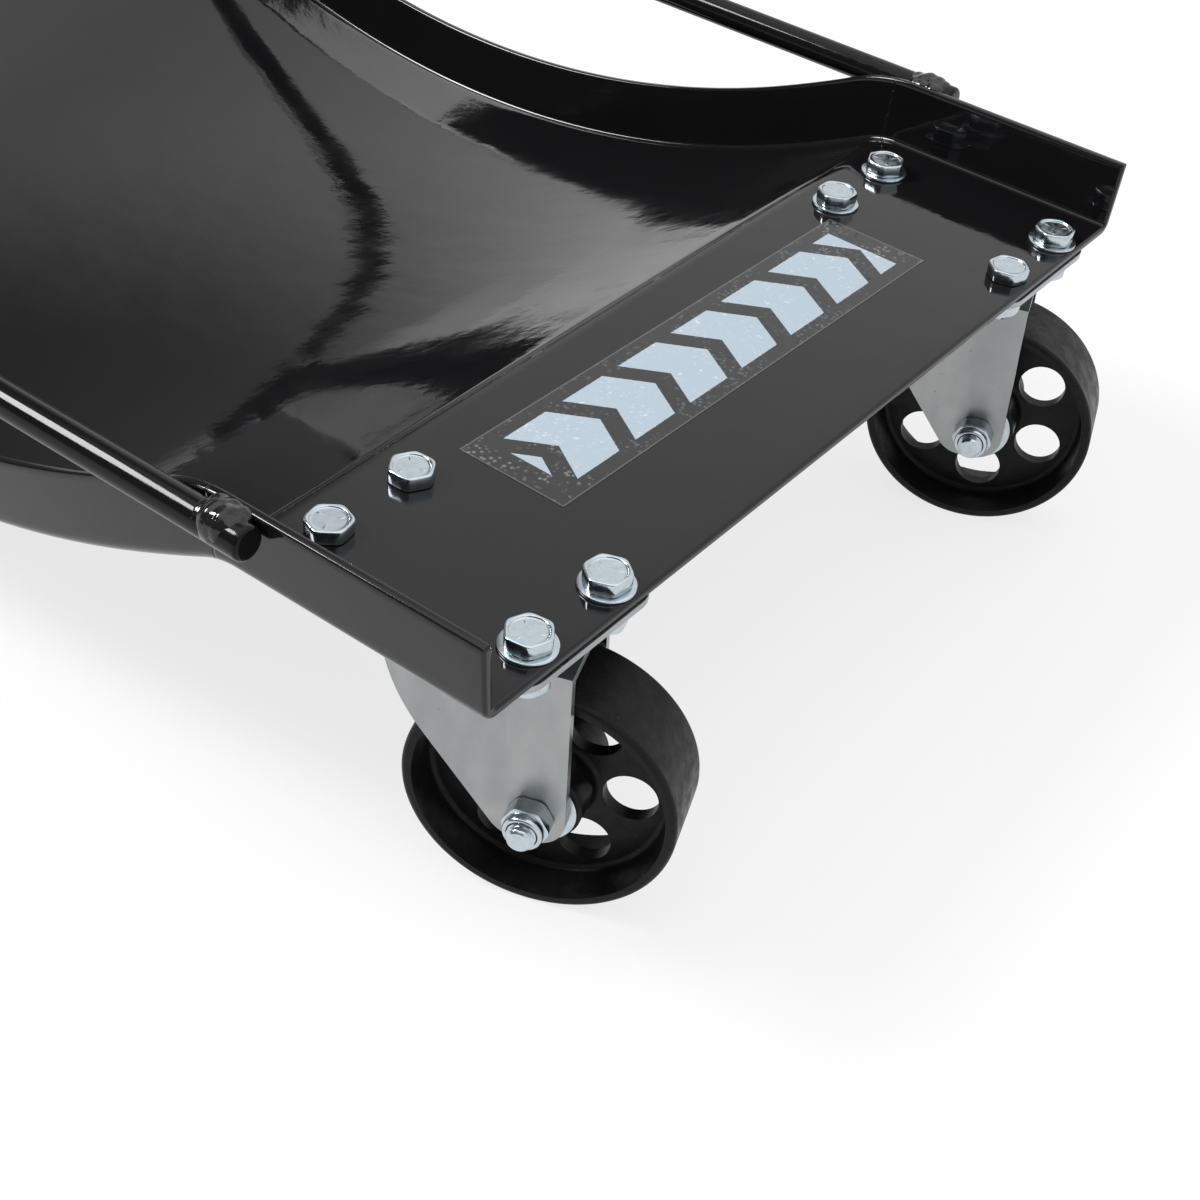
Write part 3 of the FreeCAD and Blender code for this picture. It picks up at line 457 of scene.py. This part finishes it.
def section():
    """Half the sheet's cross-section, and the flange's length.

    Each row is (y, height of the middle, normal y, normal height, half thickness, distance up the flange)."""
    half = SHEET / 2
    rows = []
    for i in range(0, 26):
        y = BLEND_FROM * i / 25
        rows.append((y, -half, 0.0, 1.0, half, 0.0))
    for i in range(1, 7):
        y = BLEND_FROM + (BEND_Y - BLEND_FROM) * i / 6
        rows.append((y, -half, 0.0, 1.0, half, 0.0))
    lean = math.pi / 2 - FLANGE_LEAN
    for i in range(1, 9):
        a = lean * i / 8
        y = BEND_Y + BEND_MID * math.sin(a)
        rows.append((y, half - BEND_MID * math.cos(a), -math.sin(a), math.cos(a), half, 0.0))
    y0, h0 = rows[-1][:2]
    along = (math.sin(FLANGE_LEAN), math.cos(FLANGE_LEAN))
    length = (FLANGE_TOP + 0.15 - h0) / math.cos(FLANGE_LEAN)
    steps = [2.0, 6.0, 10.0, 14.0, 18.0]
    steps += [length - d for d in (0.9, 0.5, 0.3, 0.12, 0.03, 0.0)]
    for s in steps:
        slim = edge_slim(length - s)
        y = y0 + along[0] * s
        h = h0 + along[1] * s
        rows.append((y, h, -math.cos(FLANGE_LEAN), math.sin(FLANGE_LEAN), half - slim, s))
    return rows, length


def smoothstep(t):
    t = min(1.0, max(0.0, t))
    return t * t * (3 - 2 * t)


def build_tray():
    crisp_top = deck_path(0.0, CRISP_RADIUS)
    crisp_under = deck_path(-SHEET, CRISP_UNDER)
    soft = deck_path(0.0, SOFT_RADIUS)
    half_rows, length = section()
    top_side = [(r, 1) for r in half_rows]
    under_side = [(r, -1) for r in half_rows]
    # One closed loop: over the top from -Y to +Y, then back underneath.
    loop = [(r, s, -1) for r, s in reversed(top_side)] + [(r, s, 1) for r, s in top_side[1:]]
    loop += [(r, s, 1) for r, s in reversed(under_side)] + [(r, s, -1) for r, s in under_side[1:]]
    rings = []
    count = len(soft)
    for side in (1, -1):
        order = range(count) if side == 1 else range(count - 2, -1, -1)
        for i in order:
            slim = edge_slim(soft[i][4])
            ring = []
            for (y, h, ny, nh, half, s), face, sign in loop:
                half = min(half, SHEET / 2 - slim)
                if s > length - slim - 0.5 and slim > 0:
                    cut = max(0.0, s - (length - slim))
                    y -= math.sin(FLANGE_LEAN) * cut
                    h -= math.cos(FLANGE_LEAN) * cut
                py = y + ny * half * face
                ph = h + nh * half * face
                w = smoothstep((y - BLEND_FROM) / (BEND_Y - BLEND_FROM))
                sx, sz, snx, snz, _ = soft[i]
                a = (sx + snx * ph, sz + snz * ph)
                tx, tz = crisp_top[i][:2]
                ux, uz = crisp_under[i][:2]
                t = min(1.0, max(0.0, (ph + SHEET) / SHEET))
                b = (ux + (tx - ux) * t, uz + (tz - uz) * t)
                x = b[0] + (a[0] - b[0]) * w
                z = b[1] + (a[1] - b[1]) * w
                ring.append((side * x, sign * py, z))
            rings.append(ring)
    b = Builder()
    b.loft(rings, cap_start=False, cap_end=False)
    # The two ends: strips across the sheet's thickness.
    size = len(loop)
    per = (size + 2) // 2
    for start, flip in ((0, False), ((len(rings) - 1) * size, True)):
        for k in range(per - 1):
            upper, upper_next = k, k + 1
            lower = (size - k) % size
            lower_next = size - (k + 1)
            face = [start + upper, start + upper_next, start + lower_next, start + lower]
            b.faces.append(tuple(reversed(face)) if flip else tuple(face))
    return b


tray_mesh = build_tray()
tray = tray_mesh.object("tray_sheet", crease_angle=50)
finish_piece(tray, "tray", "black_powder_coat", "tray")

# ---------------------------------------------------------------- side rods and welds

ROD_RADIUS = 4.75
ROD_HALF = 203.0
ROD_END_ROUND = 1.2
ROD_Y = 168.35
ROD_Z = 119.6


def build_rod(side):
    b = Builder()
    place = Matrix.Translation((0, side * ROD_Y, ROD_Z)) @ Matrix.Rotation(math.pi / 2, 4, "Y")
    corner = [math.radians(15.0 * k) for k in range(7)]
    tip = []
    for a in corner:
        inwards = ROD_END_ROUND * (1 - math.sin(a))
        back = ROD_END_ROUND * (1 - math.cos(a))
        tip.append((ROD_RADIUS - inwards, ROD_HALF - back))
    profile = [(r, -z) for r, z in tip]
    steps = 80
    straight = ROD_HALF - ROD_END_ROUND - 1.0
    for i in range(steps + 1):
        profile.append((ROD_RADIUS, straight * (2 * i / steps - 1)))
    profile += list(reversed(tip))
    b.lathe(profile, 64, place)
    return b


for side, tag in ((1, "left"), (-1, "right")):
    rod = build_rod(side).object("rod_" + tag, crease_angle=50)
    finish_piece(rod, "tray", "rod_gloss_black", "side_rod_" + tag)


WELD_X = 193    # the middle of each bead
BEAD_GRAIN = 0.45    # voxel size of the joined bead


def build_weld_lump(cx, side, seed):
    """A run of overlapping blobs just inside the rod's end, joining the rod to the flange's edge."""
    rng = random.Random(seed)
    b = Builder()
    out = 1 if cx > 0 else -1
    for i in range(9):
        t = i / 8
        x = cx + out * (4.6 - 9.2 * t)
        bulge = 0.8 + 0.2 * math.sin(math.pi * t)
        if i % 3 == 1:
            # filler that runs from the rod to the flange's edge
            y, z = side * 164.4, 122.6 + rng.uniform(-0.3, 0.3)
            rx, ry, rz = rng.uniform(3.2, 3.9), 3.0, 2.6
        else:
            y = side * (167.7 + rng.uniform(-0.3, 0.3))
            z = 120.7 + rng.uniform(-0.3, 0.3)
            rx = rng.uniform(3.0, 3.8)
            ry, rz = 6.0 * bulge, 5.7 * bulge
        place = Matrix.Translation((x, y, z)) @ Matrix.Rotation(rng.uniform(-0.3, 0.3), 4, "Z")
        profile = []
        for k in range(1, 18):
            a = math.pi * k / 18
            profile.append((math.sin(a), -math.cos(a)))
        scale = Matrix.Diagonal((rx, ry, rz, 1.0))
        b.lathe(profile, 24, place @ scale)
    return b


def apply_modifiers(obj):
    """Bakes the object's modifiers into its mesh."""
    graph = bpy.context.evaluated_depsgraph_get()
    mesh = bpy.data.meshes.new_from_object(obj.evaluated_get(graph))
    obj.modifiers.clear()
    old = obj.data
    obj.data = mesh
    bpy.data.meshes.remove(old)


weld = Builder()
for k, (cx, side) in enumerate(((WELD_X, 1), (WELD_X, -1), (-WELD_X, 1), (-WELD_X, -1))):
    lump = build_weld_lump(cx, side, 11 + k)
    base = len(weld.points)
    weld.points += lump.points
    weld.faces += [tuple(i + base for i in f) for f in lump.faces]
welds = weld.object("weld_beads", crease_angle=180)
remesh = welds.modifiers.new("join", "REMESH")
remesh.mode = "VOXEL"
remesh.voxel_size = BEAD_GRAIN * MM
remesh.use_smooth_shade = True
relax = welds.modifiers.new("relax", "SMOOTH")
relax.iterations = 6
relax.factor = 0.5
apply_modifiers(welds)
for v in welds.data.vertices:
    p = v.co / MM
    v.co += v.normal * MM * 0.35 * noise.noise(p * 0.35)
welds.data.polygons.foreach_set("use_smooth", [True] * len(welds.data.polygons))
finish_piece(welds, "tray", "weld_bead_paint", "rod_welds")

# ---------------------------------------------------------------- fasteners

BOLT_FLAT = 6.0
HEX_CORNER = 6.5    # the corners are rounded off at this radius
HEAD_HEIGHT = 4.2
SHANK_RADIUS = 4.0
THREAD_PITCH = 1.25
NUT_BORE = 3.7
AXLE_NUT_BORE = 4.15
WASHER_BORE = 4.2


def hexagon_radius(flat, angle):
    turn = math.radians(60)
    a = (angle + turn / 2) % turn - turn / 2
    return flat / math.cos(a)


def hex_outline(flat, angle, inset=0.0):
    """The outline of a hexagon with rounded corners, whose first corner is at angle 0."""
    corner = flat * HEX_CORNER / BOLT_FLAT
    edge = hexagon_radius(flat, angle + math.radians(30))
    blend = 0.25
    soft = -blend * math.log(math.exp(-edge / blend) + math.exp(-corner / blend))
    return min(edge, soft + 0.06) - inset


def hex_head(b, place, flat, height, turn, segments=144):
    """A forged hexagon head: a round flat-bottomed dish inside a thin rim that follows the hexagon."""
    dish_edge = flat * 0.858
    dish = 0.45
    angles = [2 * math.pi * k / segments for k in range(segments)]
    tops = [(0.25, -dish), (0.5, -dish), (0.62, -dish), (0.72, -dish), (0.82, -dish), (0.92, -dish)]
    tops += [(0.955, -dish * 0.85), (0.98, -dish * 0.4), (1.0, -0.06), (1.02, 0.0)]
    rings = []
    for part, dz in tops:
        r = part * dish_edge
        ring = []
        for a in angles:
            lift = 0.0
            if 0.5 < part < 0.8:
                for m in range(3):
                    away = a - turn - math.radians(15 + 120 * m)
                    if math.cos(away) > 0 and abs(math.sin(away)) * r < 0.26:
                        lift = 0.08
            ring.append((r * math.cos(a), r * math.sin(a), height + dz + lift))
        rings.append(ring)
    chamfer = 0.35
    for inset, z in (
        (chamfer + 0.05, height),
        (chamfer * 0.6, height - 0.06),
        (chamfer * 0.25, height - 0.18),
        (0.0, height - chamfer),
        (0.0, height * 0.5),
        (0.0, 0.55),
        (0.06, 0.30),
    ):
        outline = [hex_outline(flat, a - turn, inset) for a in angles]
        rings.append([(r * math.cos(a), r * math.sin(a), z) for r, a in zip(outline, angles)])
    for r, z in ((flat * 0.97, 0.20), (flat * 0.94, 0.0)):
        rings.append([(r * math.cos(a), r * math.sin(a), z) for a in angles])
    rings = [[tuple(place @ Vector(p)) for p in ring] for ring in rings]
    rings.reverse()
    b.loft(rings)


def hex_nut(b, place, flat, bore, height, turn, segments=96):
    """A chamfered nut with an open bore."""
    angles = [2 * math.pi * k / segments for k in range(segments)]
    rings = []

    def ring(step, z):
        out = []
        for a in angles:
            edge = hex_outline(flat, a - turn)
            r = flat * 0.93 + (edge - flat * 0.93) * step
            fall = (r - flat * 0.93) * 0.5
            out.append((r * math.cos(a), r * math.sin(a), z + (fall if z < height / 2 else -fall)))
        return out

    rings.append([(bore * math.cos(a), bore * math.sin(a), 0.6) for a in angles])
    rings.append([((bore + 0.6) * math.cos(a), (bore + 0.6) * math.sin(a), 0.0) for a in angles])
    rings.append(ring(0.0, 0.0))
    rings.append(ring(0.5, 0.0))
    rings.append(ring(1.0, 0.0))
    rings.append(ring(1.0, height))
    rings.append(ring(0.5, height))
    rings.append(ring(0.0, height))
    rings.append([((bore + 0.6) * math.cos(a), (bore + 0.6) * math.sin(a), height) for a in angles])
    rings.append([(bore * math.cos(a), bore * math.sin(a), height - 0.6) for a in angles])
    rings = [[tuple(place @ Vector(p)) for p in r] for r in rings]
    b.loft(rings, closed=True)


def threaded_end(b, place, radius, length, pitch, chamfer=0.8, segments=48):
    """A shank with thread rings, length long from the origin along local Z, ending in a chamfer."""
    depth = pitch * 0.5
    profile = [(radius - depth, 0.0)]
    z = 0.0
    while z + pitch <= length - chamfer:
        profile += [(radius - depth, z + pitch * 0.05), (radius, z + pitch * 0.42)]
        profile += [(radius, z + pitch * 0.58), (radius - depth, z + pitch * 0.95)]
        z += pitch
    profile += [(radius - depth * 0.6, length - chamfer), (radius - chamfer, length - 0.05)]
    profile += [(radius - chamfer - 0.1, length)]
    b.lathe(profile, segments, place)


def hex_turn(points, centre, low, high):
    """The angle of a hexagon's first corner, from the vertices between two heights."""
    band = points[(points[:, 2] > low) & (points[:, 2] < high)]
    rel = band[:, :2] - np.array(centre[:2])
    dist = np.hypot(rel[:, 0], rel[:, 1])
    far = rel[dist > dist.max() - 0.15]
    angles = np.degrees(np.arctan2(far[:, 1], far[:, 0])) % 60.0
    return math.radians(float(np.median(angles)))


bolts = Builder()
for part in loose_parts("mounting_bolts"):
    low, high = part.min(axis=0), part.max(axis=0)
    centre = ((low[0] + high[0]) / 2, (low[1] + high[1]) / 2)
    seat = high[2] - HEAD_HEIGHT
    turn = hex_turn(part, centre, seat + 1, high[2])
    place = Matrix.Translation((centre[0], centre[1], seat))
    hex_head(bolts, place, BOLT_FLAT, HEAD_HEIGHT, turn)
    down = Matrix.Translation((centre[0], centre[1], seat + 0.4)) @ Matrix.Rotation(math.pi, 4, "X")
    threaded_end(bolts, down, SHANK_RADIUS, seat + 0.4 - low[2], THREAD_PITCH)
finish_piece(bolts.object("bolt_heads", crease_angle=32), "tray", "bright_zinc", "mounting_bolts")

nuts = Builder()
for part in loose_parts("mounting_nuts"):
    low, high = part.min(axis=0), part.max(axis=0)
    centre = ((low[0] + high[0]) / 2, (low[1] + high[1]) / 2)
    turn = hex_turn(part, centre, low[2], high[2])
    place = Matrix.Translation((centre[0], centre[1], low[2]))
    hex_nut(nuts, place, BOLT_FLAT, NUT_BORE, high[2] - low[2], turn)
finish_piece(nuts.object("under_nuts", crease_angle=32), "tray", "bright_zinc", "mounting_nuts")

washers = Builder()
for part in loose_parts("mounting_washers"):
    low, high = part.min(axis=0), part.max(axis=0)
    outer = (high[0] - low[0]) / 2
    inner = WASHER_BORE
    height = high[2] - low[2]
    place = Matrix.Translation(((low[0] + high[0]) / 2, (low[1] + high[1]) / 2, low[2]))
    profile = [(inner, 0.12), (inner + 0.12, 0.0), (outer - 0.35, 0.0), (outer - 0.08, 0.12), (outer, 0.35)]
    profile += [(outer, height - 0.35), (outer - 0.12, height - 0.1), (outer - 0.4, height)]
    profile += [(inner + 0.12, height), (inner, height - 0.12)]
    washers.lathe(profile, 96, place, closed=True)
finish_piece(washers.object("flat_washers", crease_angle=40), "tray", "bright_zinc", "mounting_washers")

# Each corner: end, side, and the angle its caster stands at, in degrees.
CORNERS = {
    "front_right": (1, -1, 20.7),
    "front_left": (1, 1, 19.5),
    "rear_right": (-1, -1, 19.5),
    "rear_left": (-1, 1, 20.7),
}
KINGPIN = (229.8, 120.3)
TRAIL = 26.8
AXLE_HEIGHT = 38.1
LEG_OUTSIDE = 17.5
NUT_HEIGHT = 5.4
COLLAR_HEIGHT = 2.6
AXLE_HEAD = 5.0
AXLE_TIP = 10.6


def axle_frame(corner):
    """The axle's own frame: the origin in the wheel's middle, Z towards the nut, X along the trail."""
    end, side, turn = CORNERS[corner]
    angle = math.radians(turn)
    x = (KINGPIN[0] + TRAIL * math.cos(angle)) * end
    y = KINGPIN[1] * side + TRAIL * math.sin(angle) * end
    yaw = Matrix.Rotation(angle + (0.0 if end > 0 else math.pi), 4, "Z")
    return Matrix.Translation((x, y, AXLE_HEIGHT)) @ yaw @ Matrix.Rotation(math.pi / 2, 4, "X")


for corner in CORNERS:
    axle = axle_frame(corner)
    nut = Builder()
    seat = axle @ Matrix.Translation((0, 0, LEG_OUTSIDE))
    hex_nut(nut, seat, BOLT_FLAT, AXLE_NUT_BORE, NUT_HEIGHT, 0.0)
    # the locking collar: a rounded ring standing on the nut's outer face
    top = NUT_HEIGHT + COLLAR_HEIGHT
    collar = [(AXLE_NUT_BORE, NUT_HEIGHT - 0.6), (AXLE_NUT_BORE, top - 0.35), (4.35, top - 0.08)]
    collar += [(4.65, top), (4.95, top - 0.06)]
    collar += [(5.3, top - 0.35), (5.55, top - 0.9), (5.6, top - 1.6), (5.6, NUT_HEIGHT - 0.6)]
    nut.lathe(collar, 96, seat, closed=True)
    body = "swivel_" + corner
    piece = nut.object("axle_nut_mesh_" + corner, crease_angle=32)
    finish_piece(piece, body, "bright_zinc", "axle_nut_" + corner)
    bolt = Builder()
    head = axle @ Matrix.Translation((0, 0, -LEG_OUTSIDE)) @ Matrix.Rotation(math.pi, 4, "X")
    hex_head(bolt, head, BOLT_FLAT, AXLE_HEAD, 0.0)
    shank = axle @ Matrix.Translation((0, 0, -LEG_OUTSIDE - 0.4))
    threaded_end(bolt, shank, SHANK_RADIUS, LEG_OUTSIDE * 2 + AXLE_TIP + 0.4, THREAD_PITCH, chamfer=0.9)
    piece = bolt.object("axle_bolt_mesh_" + corner, crease_angle=32)
    finish_piece(piece, body, "bright_zinc", "axle_bolt_" + corner)

# ---------------------------------------------------------------- label

LABEL_LENGTH = 181.0
LABEL_WIDTH = 36.0
LABEL_THICK = 0.15
LABEL_SKEW = math.radians(-1.1)


def label_material():
    m = Nodes("printed_clear_label")
    split = m.tree.nodes.new("ShaderNodeSeparateXYZ")
    m.put(split.inputs[0], m.coord)
    u = m.math("MULTIPLY", split.outputs[1], 1000.0)
    v = m.math("MULTIPLY", split.outputs[0], 1000.0)
    ragged = m.math("MULTIPLY", m.math("SUBTRACT", m.noise(900.0, 3.0), 0.5), 0.25)
    slant = m.math("ADD", m.math("ADD", u, m.math("MULTIPLY", m.math("ABSOLUTE", v), 0.62)), ragged)
    cell = m.math("PINGPONG", m.math("ADD", slant, 200.0), 12.6)
    bars = m.ramp(cell, 3.55, 3.75)
    inside_v = m.ramp(m.math("ABSOLUTE", m.math("ADD", v, ragged)), 12.8, 12.95, 1.0, 0.0)
    inside_u = m.ramp(m.math("ABSOLUTE", m.math("ADD", u, ragged)), 82.0, 82.2, 1.0, 0.0)
    print_mask = m.math("MULTIPLY", bars, m.math("MULTIPLY", inside_v, inside_u))
    fine = m.ramp(m.voronoi(620.0), 0.26, 0.42, 1.0, 0.0)
    keep = m.ramp(m.noise(95.0, 3.0, 0.6), 0.42, 0.62)
    ends = m.ramp(m.math("ABSOLUTE", u), 50.0, 86.0, 0.45, 1.0)
    flakes = m.math("MULTIPLY", m.math("MULTIPLY", fine, keep), ends)
    blots = m.ramp(m.noise(210.0, 2.0, 0.5), 0.66, 0.70)
    edge_u = m.ramp(m.math("ABSOLUTE", u), LABEL_LENGTH / 2 - 0.7, LABEL_LENGTH / 2 - 0.35)
    edge_v = m.ramp(m.math("ABSOLUTE", v), LABEL_WIDTH / 2 - 0.7, LABEL_WIDTH / 2 - 0.35)
    edge = m.math("MAXIMUM", edge_u, edge_v)
    film = m.mix(m.math("MULTIPLY", flakes, 0.7), grey(0.010), (0.15, 0.16, 0.17, 1.0))
    film = m.mix(m.math("MULTIPLY", edge, 0.5), film, grey(0.10))
    worn = m.math("MULTIPLY", m.math("ADD", flakes, blots), 0.8)
    inked = m.mix(worn, (0.28, 0.345, 0.40, 1.0), (0.42, 0.45, 0.47, 1.0))
    frost = m.math("MAXIMUM", flakes, m.math("MULTIPLY", blots, 0.8))
    normal = m.bump(m.noise(16.0, 2.0), 0.10)
    normal = m.bump(m.noise(1200.0, 3.0), 0.012, normal)
    m.set(
        Base_Color=m.mix(print_mask, film, inked),
        Roughness=m.ramp(frost, 0.0, 1.0, 0.10, 0.5),
        IOR=1.5,
        Normal=normal,
    )
    return m.material


def build_label():
    points, faces = [], []
    nu, nv = 90, 18
    for layer in (0.0, 1.0):
        for j in range(nv + 1):
            for i in range(nu + 1):
                u = LABEL_LENGTH * (i / nu - 0.5)
                v = LABEL_WIDTH * (j / nv - 0.5)
                points.append((v, u, LABEL_THICK * layer))
    row = nu + 1
    top = row * (nv + 1)
    for j in range(nv):
        for i in range(nu):
            a = j * row + i
            faces.append((a, a + 1, a + row + 1, a + row))
            faces.append((top + a, top + a + row, top + a + row + 1, top + a + 1))
    rim = list(range(row)) + [j * row + nu for j in range(1, nv + 1)]
    rim += [nv * row + i for i in range(nu - 1, -1, -1)] + [j * row for j in range(nv - 1, 0, -1)]
    for k, a in enumerate(rim):
        n = rim[(k + 1) % len(rim)]
        faces.append((a, top + a, top + n, n))
    return points, faces


MAT["label_film"] = label_material()
low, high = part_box("label")
label_middle = Matrix.Translation(((low.x + high.x) / 2, (low.y + high.y) / 2, low.z))
label_place = label_middle @ Matrix.Rotation(LABEL_SKEW, 4, "Z")
label_points, label_faces = build_label()
label = new_object("label_print", label_points, label_faces, origin=label_place)
finish_piece(label, "tray", "label_film", "label")

# ---------------------------------------------------------------- carried-over CAD parts

FINISH = (
    ("caster_plate_", "zinc_sheet"),
    ("kingpin_", "zinc_sheet"),
    ("lower_race_", "zinc_sheet"),
    ("fork_", "zinc_fork"),
    ("upper_balls_", "ball_steel"),
    ("lower_balls_", "ball_steel"),
    ("axle_sleeve_", "ball_steel"),
    ("wheel_rollers_", "ball_steel"),
    ("axle_washers_", "bright_zinc"),
    ("wheel_", "wheel_black_iron"),
)
for name, obj in nodes.items():
    for start, finish in FINISH:
        if name.startswith(start):
            paint(obj, MAT[finish])
            break

# ---------------------------------------------------------------- floor, light and camera


def build_floor():
    half = 30.0
    mesh = bpy.data.meshes.new("floor")
    corners = [(-half, -half, 0), (half, -half, 0), (half, half, 0), (-half, half, 0)]
    mesh.from_pydata(corners, [], [(0, 1, 2, 3)])
    floor = bpy.data.objects.new("floor", mesh)
    scene.collection.objects.link(floor)
    m = Nodes("plain_pale_floor")
    m.set(Base_Color=grey(0.16), Roughness=0.9)
    m.shader.inputs["Emission Color"].default_value = grey(1.0)
    m.shader.inputs["Emission Strength"].default_value = 0.78
    m.shader.inputs["Specular IOR Level"].default_value = 0.0
    paint(floor, m.material)


build_floor()


def direction(azimuth, elevation):
    a, e = math.radians(azimuth), math.radians(elevation)
    return Vector((math.cos(a) * math.cos(e), math.sin(a) * math.cos(e), math.sin(e)))


OVERHEAD = 1.5    # brightness straight above


def build_world():
    world = bpy.data.worlds.new("studio")
    scene.world = world
    world.use_nodes = True
    tree = world.node_tree
    tree.nodes.clear()
    out = tree.nodes.new("ShaderNodeOutputWorld")
    background = tree.nodes.new("ShaderNodeBackground")
    coord = tree.nodes.new("ShaderNodeTexCoord")
    split = tree.nodes.new("ShaderNodeSeparateXYZ")
    tree.links.new(coord.outputs["Generated"], split.inputs[0])

    def math_node(operation, a, b=0.0):
        n = tree.nodes.new("ShaderNodeMath")
        n.operation = operation
        for socket, value in zip(n.inputs, (a, b)):
            if isinstance(value, bpy.types.NodeSocket):
                tree.links.new(value, socket)
            else:
                socket.default_value = value
        return n.outputs[0]

    def step(value, low, high, to_low, to_high):
        n = tree.nodes.new("ShaderNodeMapRange")
        n.interpolation_type = "SMOOTHSTEP"
        for socket, v in zip(n.inputs, (value, low, high, to_low, to_high)):
            if isinstance(v, bpy.types.NodeSocket):
                tree.links.new(v, socket)
            else:
                socket.default_value = v
        return n.outputs[0]

    x, y, z = split.outputs
    # The bright half of the room is the one this direction points to; the rest is dim.
    bright = math.radians(49.0)
    along_x = math_node("MULTIPLY", x, math.cos(bright))
    along_y = math_node("MULTIPLY", y, math.sin(bright))
    across = math_node("ADD", along_x, along_y)
    side = step(across, -0.10, 0.13, 0.17, 1.0)
    above = step(z, 0.70, 0.84, 0.0, 1.0)
    low_band = step(z, 0.05, 0.14, 0.75, 0.0)
    level = math_node("MAXIMUM", side, low_band)
    walls = math_node("MULTIPLY", level, math_node("SUBTRACT", 1.0, above))
    level = math_node("ADD", walls, math_node("MULTIPLY", above, OVERHEAD))
    tree.links.new(level, background.inputs["Strength"])
    background.inputs["Color"].default_value = (1.0, 1.0, 1.0, 1.0)
    tree.links.new(background.outputs[0], out.inputs[0])


build_world()


def softbox(name, azimuth, elevation, distance, width, height, radiance, target=(0.1, 0.0, 0.08)):
    data = bpy.data.lights.new(name, "AREA")
    data.shape = "RECTANGLE"
    data.size = width
    data.size_y = height
    data.energy = radiance * math.pi * width * height
    lamp = bpy.data.objects.new(name, data)
    lamp.location = Vector(target) + direction(azimuth, elevation) * distance
    lamp.rotation_mode = "QUATERNION"
    lamp.rotation_quaternion = direction(azimuth, elevation).to_track_quat("Z", "Y")
    lamp.visible_camera = False
    scene.collection.objects.link(lamp)


softbox(
    "key_softbox",
    azimuth=212.0,
    elevation=43.0,
    distance=2.2,
    width=0.75,
    height=0.75,
    radiance=36.0,
)

# The camera's lens, place and turn are the ones fitted to the photograph.
camera_data = bpy.data.cameras.new("camera")
camera_data.lens = 59.862
camera_data.sensor_width = 36.0
camera_data.clip_start = 0.01
camera_data.clip_end = 100.0
camera = bpy.data.objects.new("camera", camera_data)
camera.location = (0.46935, -0.42557, 0.41378)
camera.rotation_euler = [math.radians(a) for a in (50.2213, -5.0040, 37.2391)]
scene.collection.objects.link(camera)
scene.camera = camera
scene.view_settings.view_transform = "Standard"
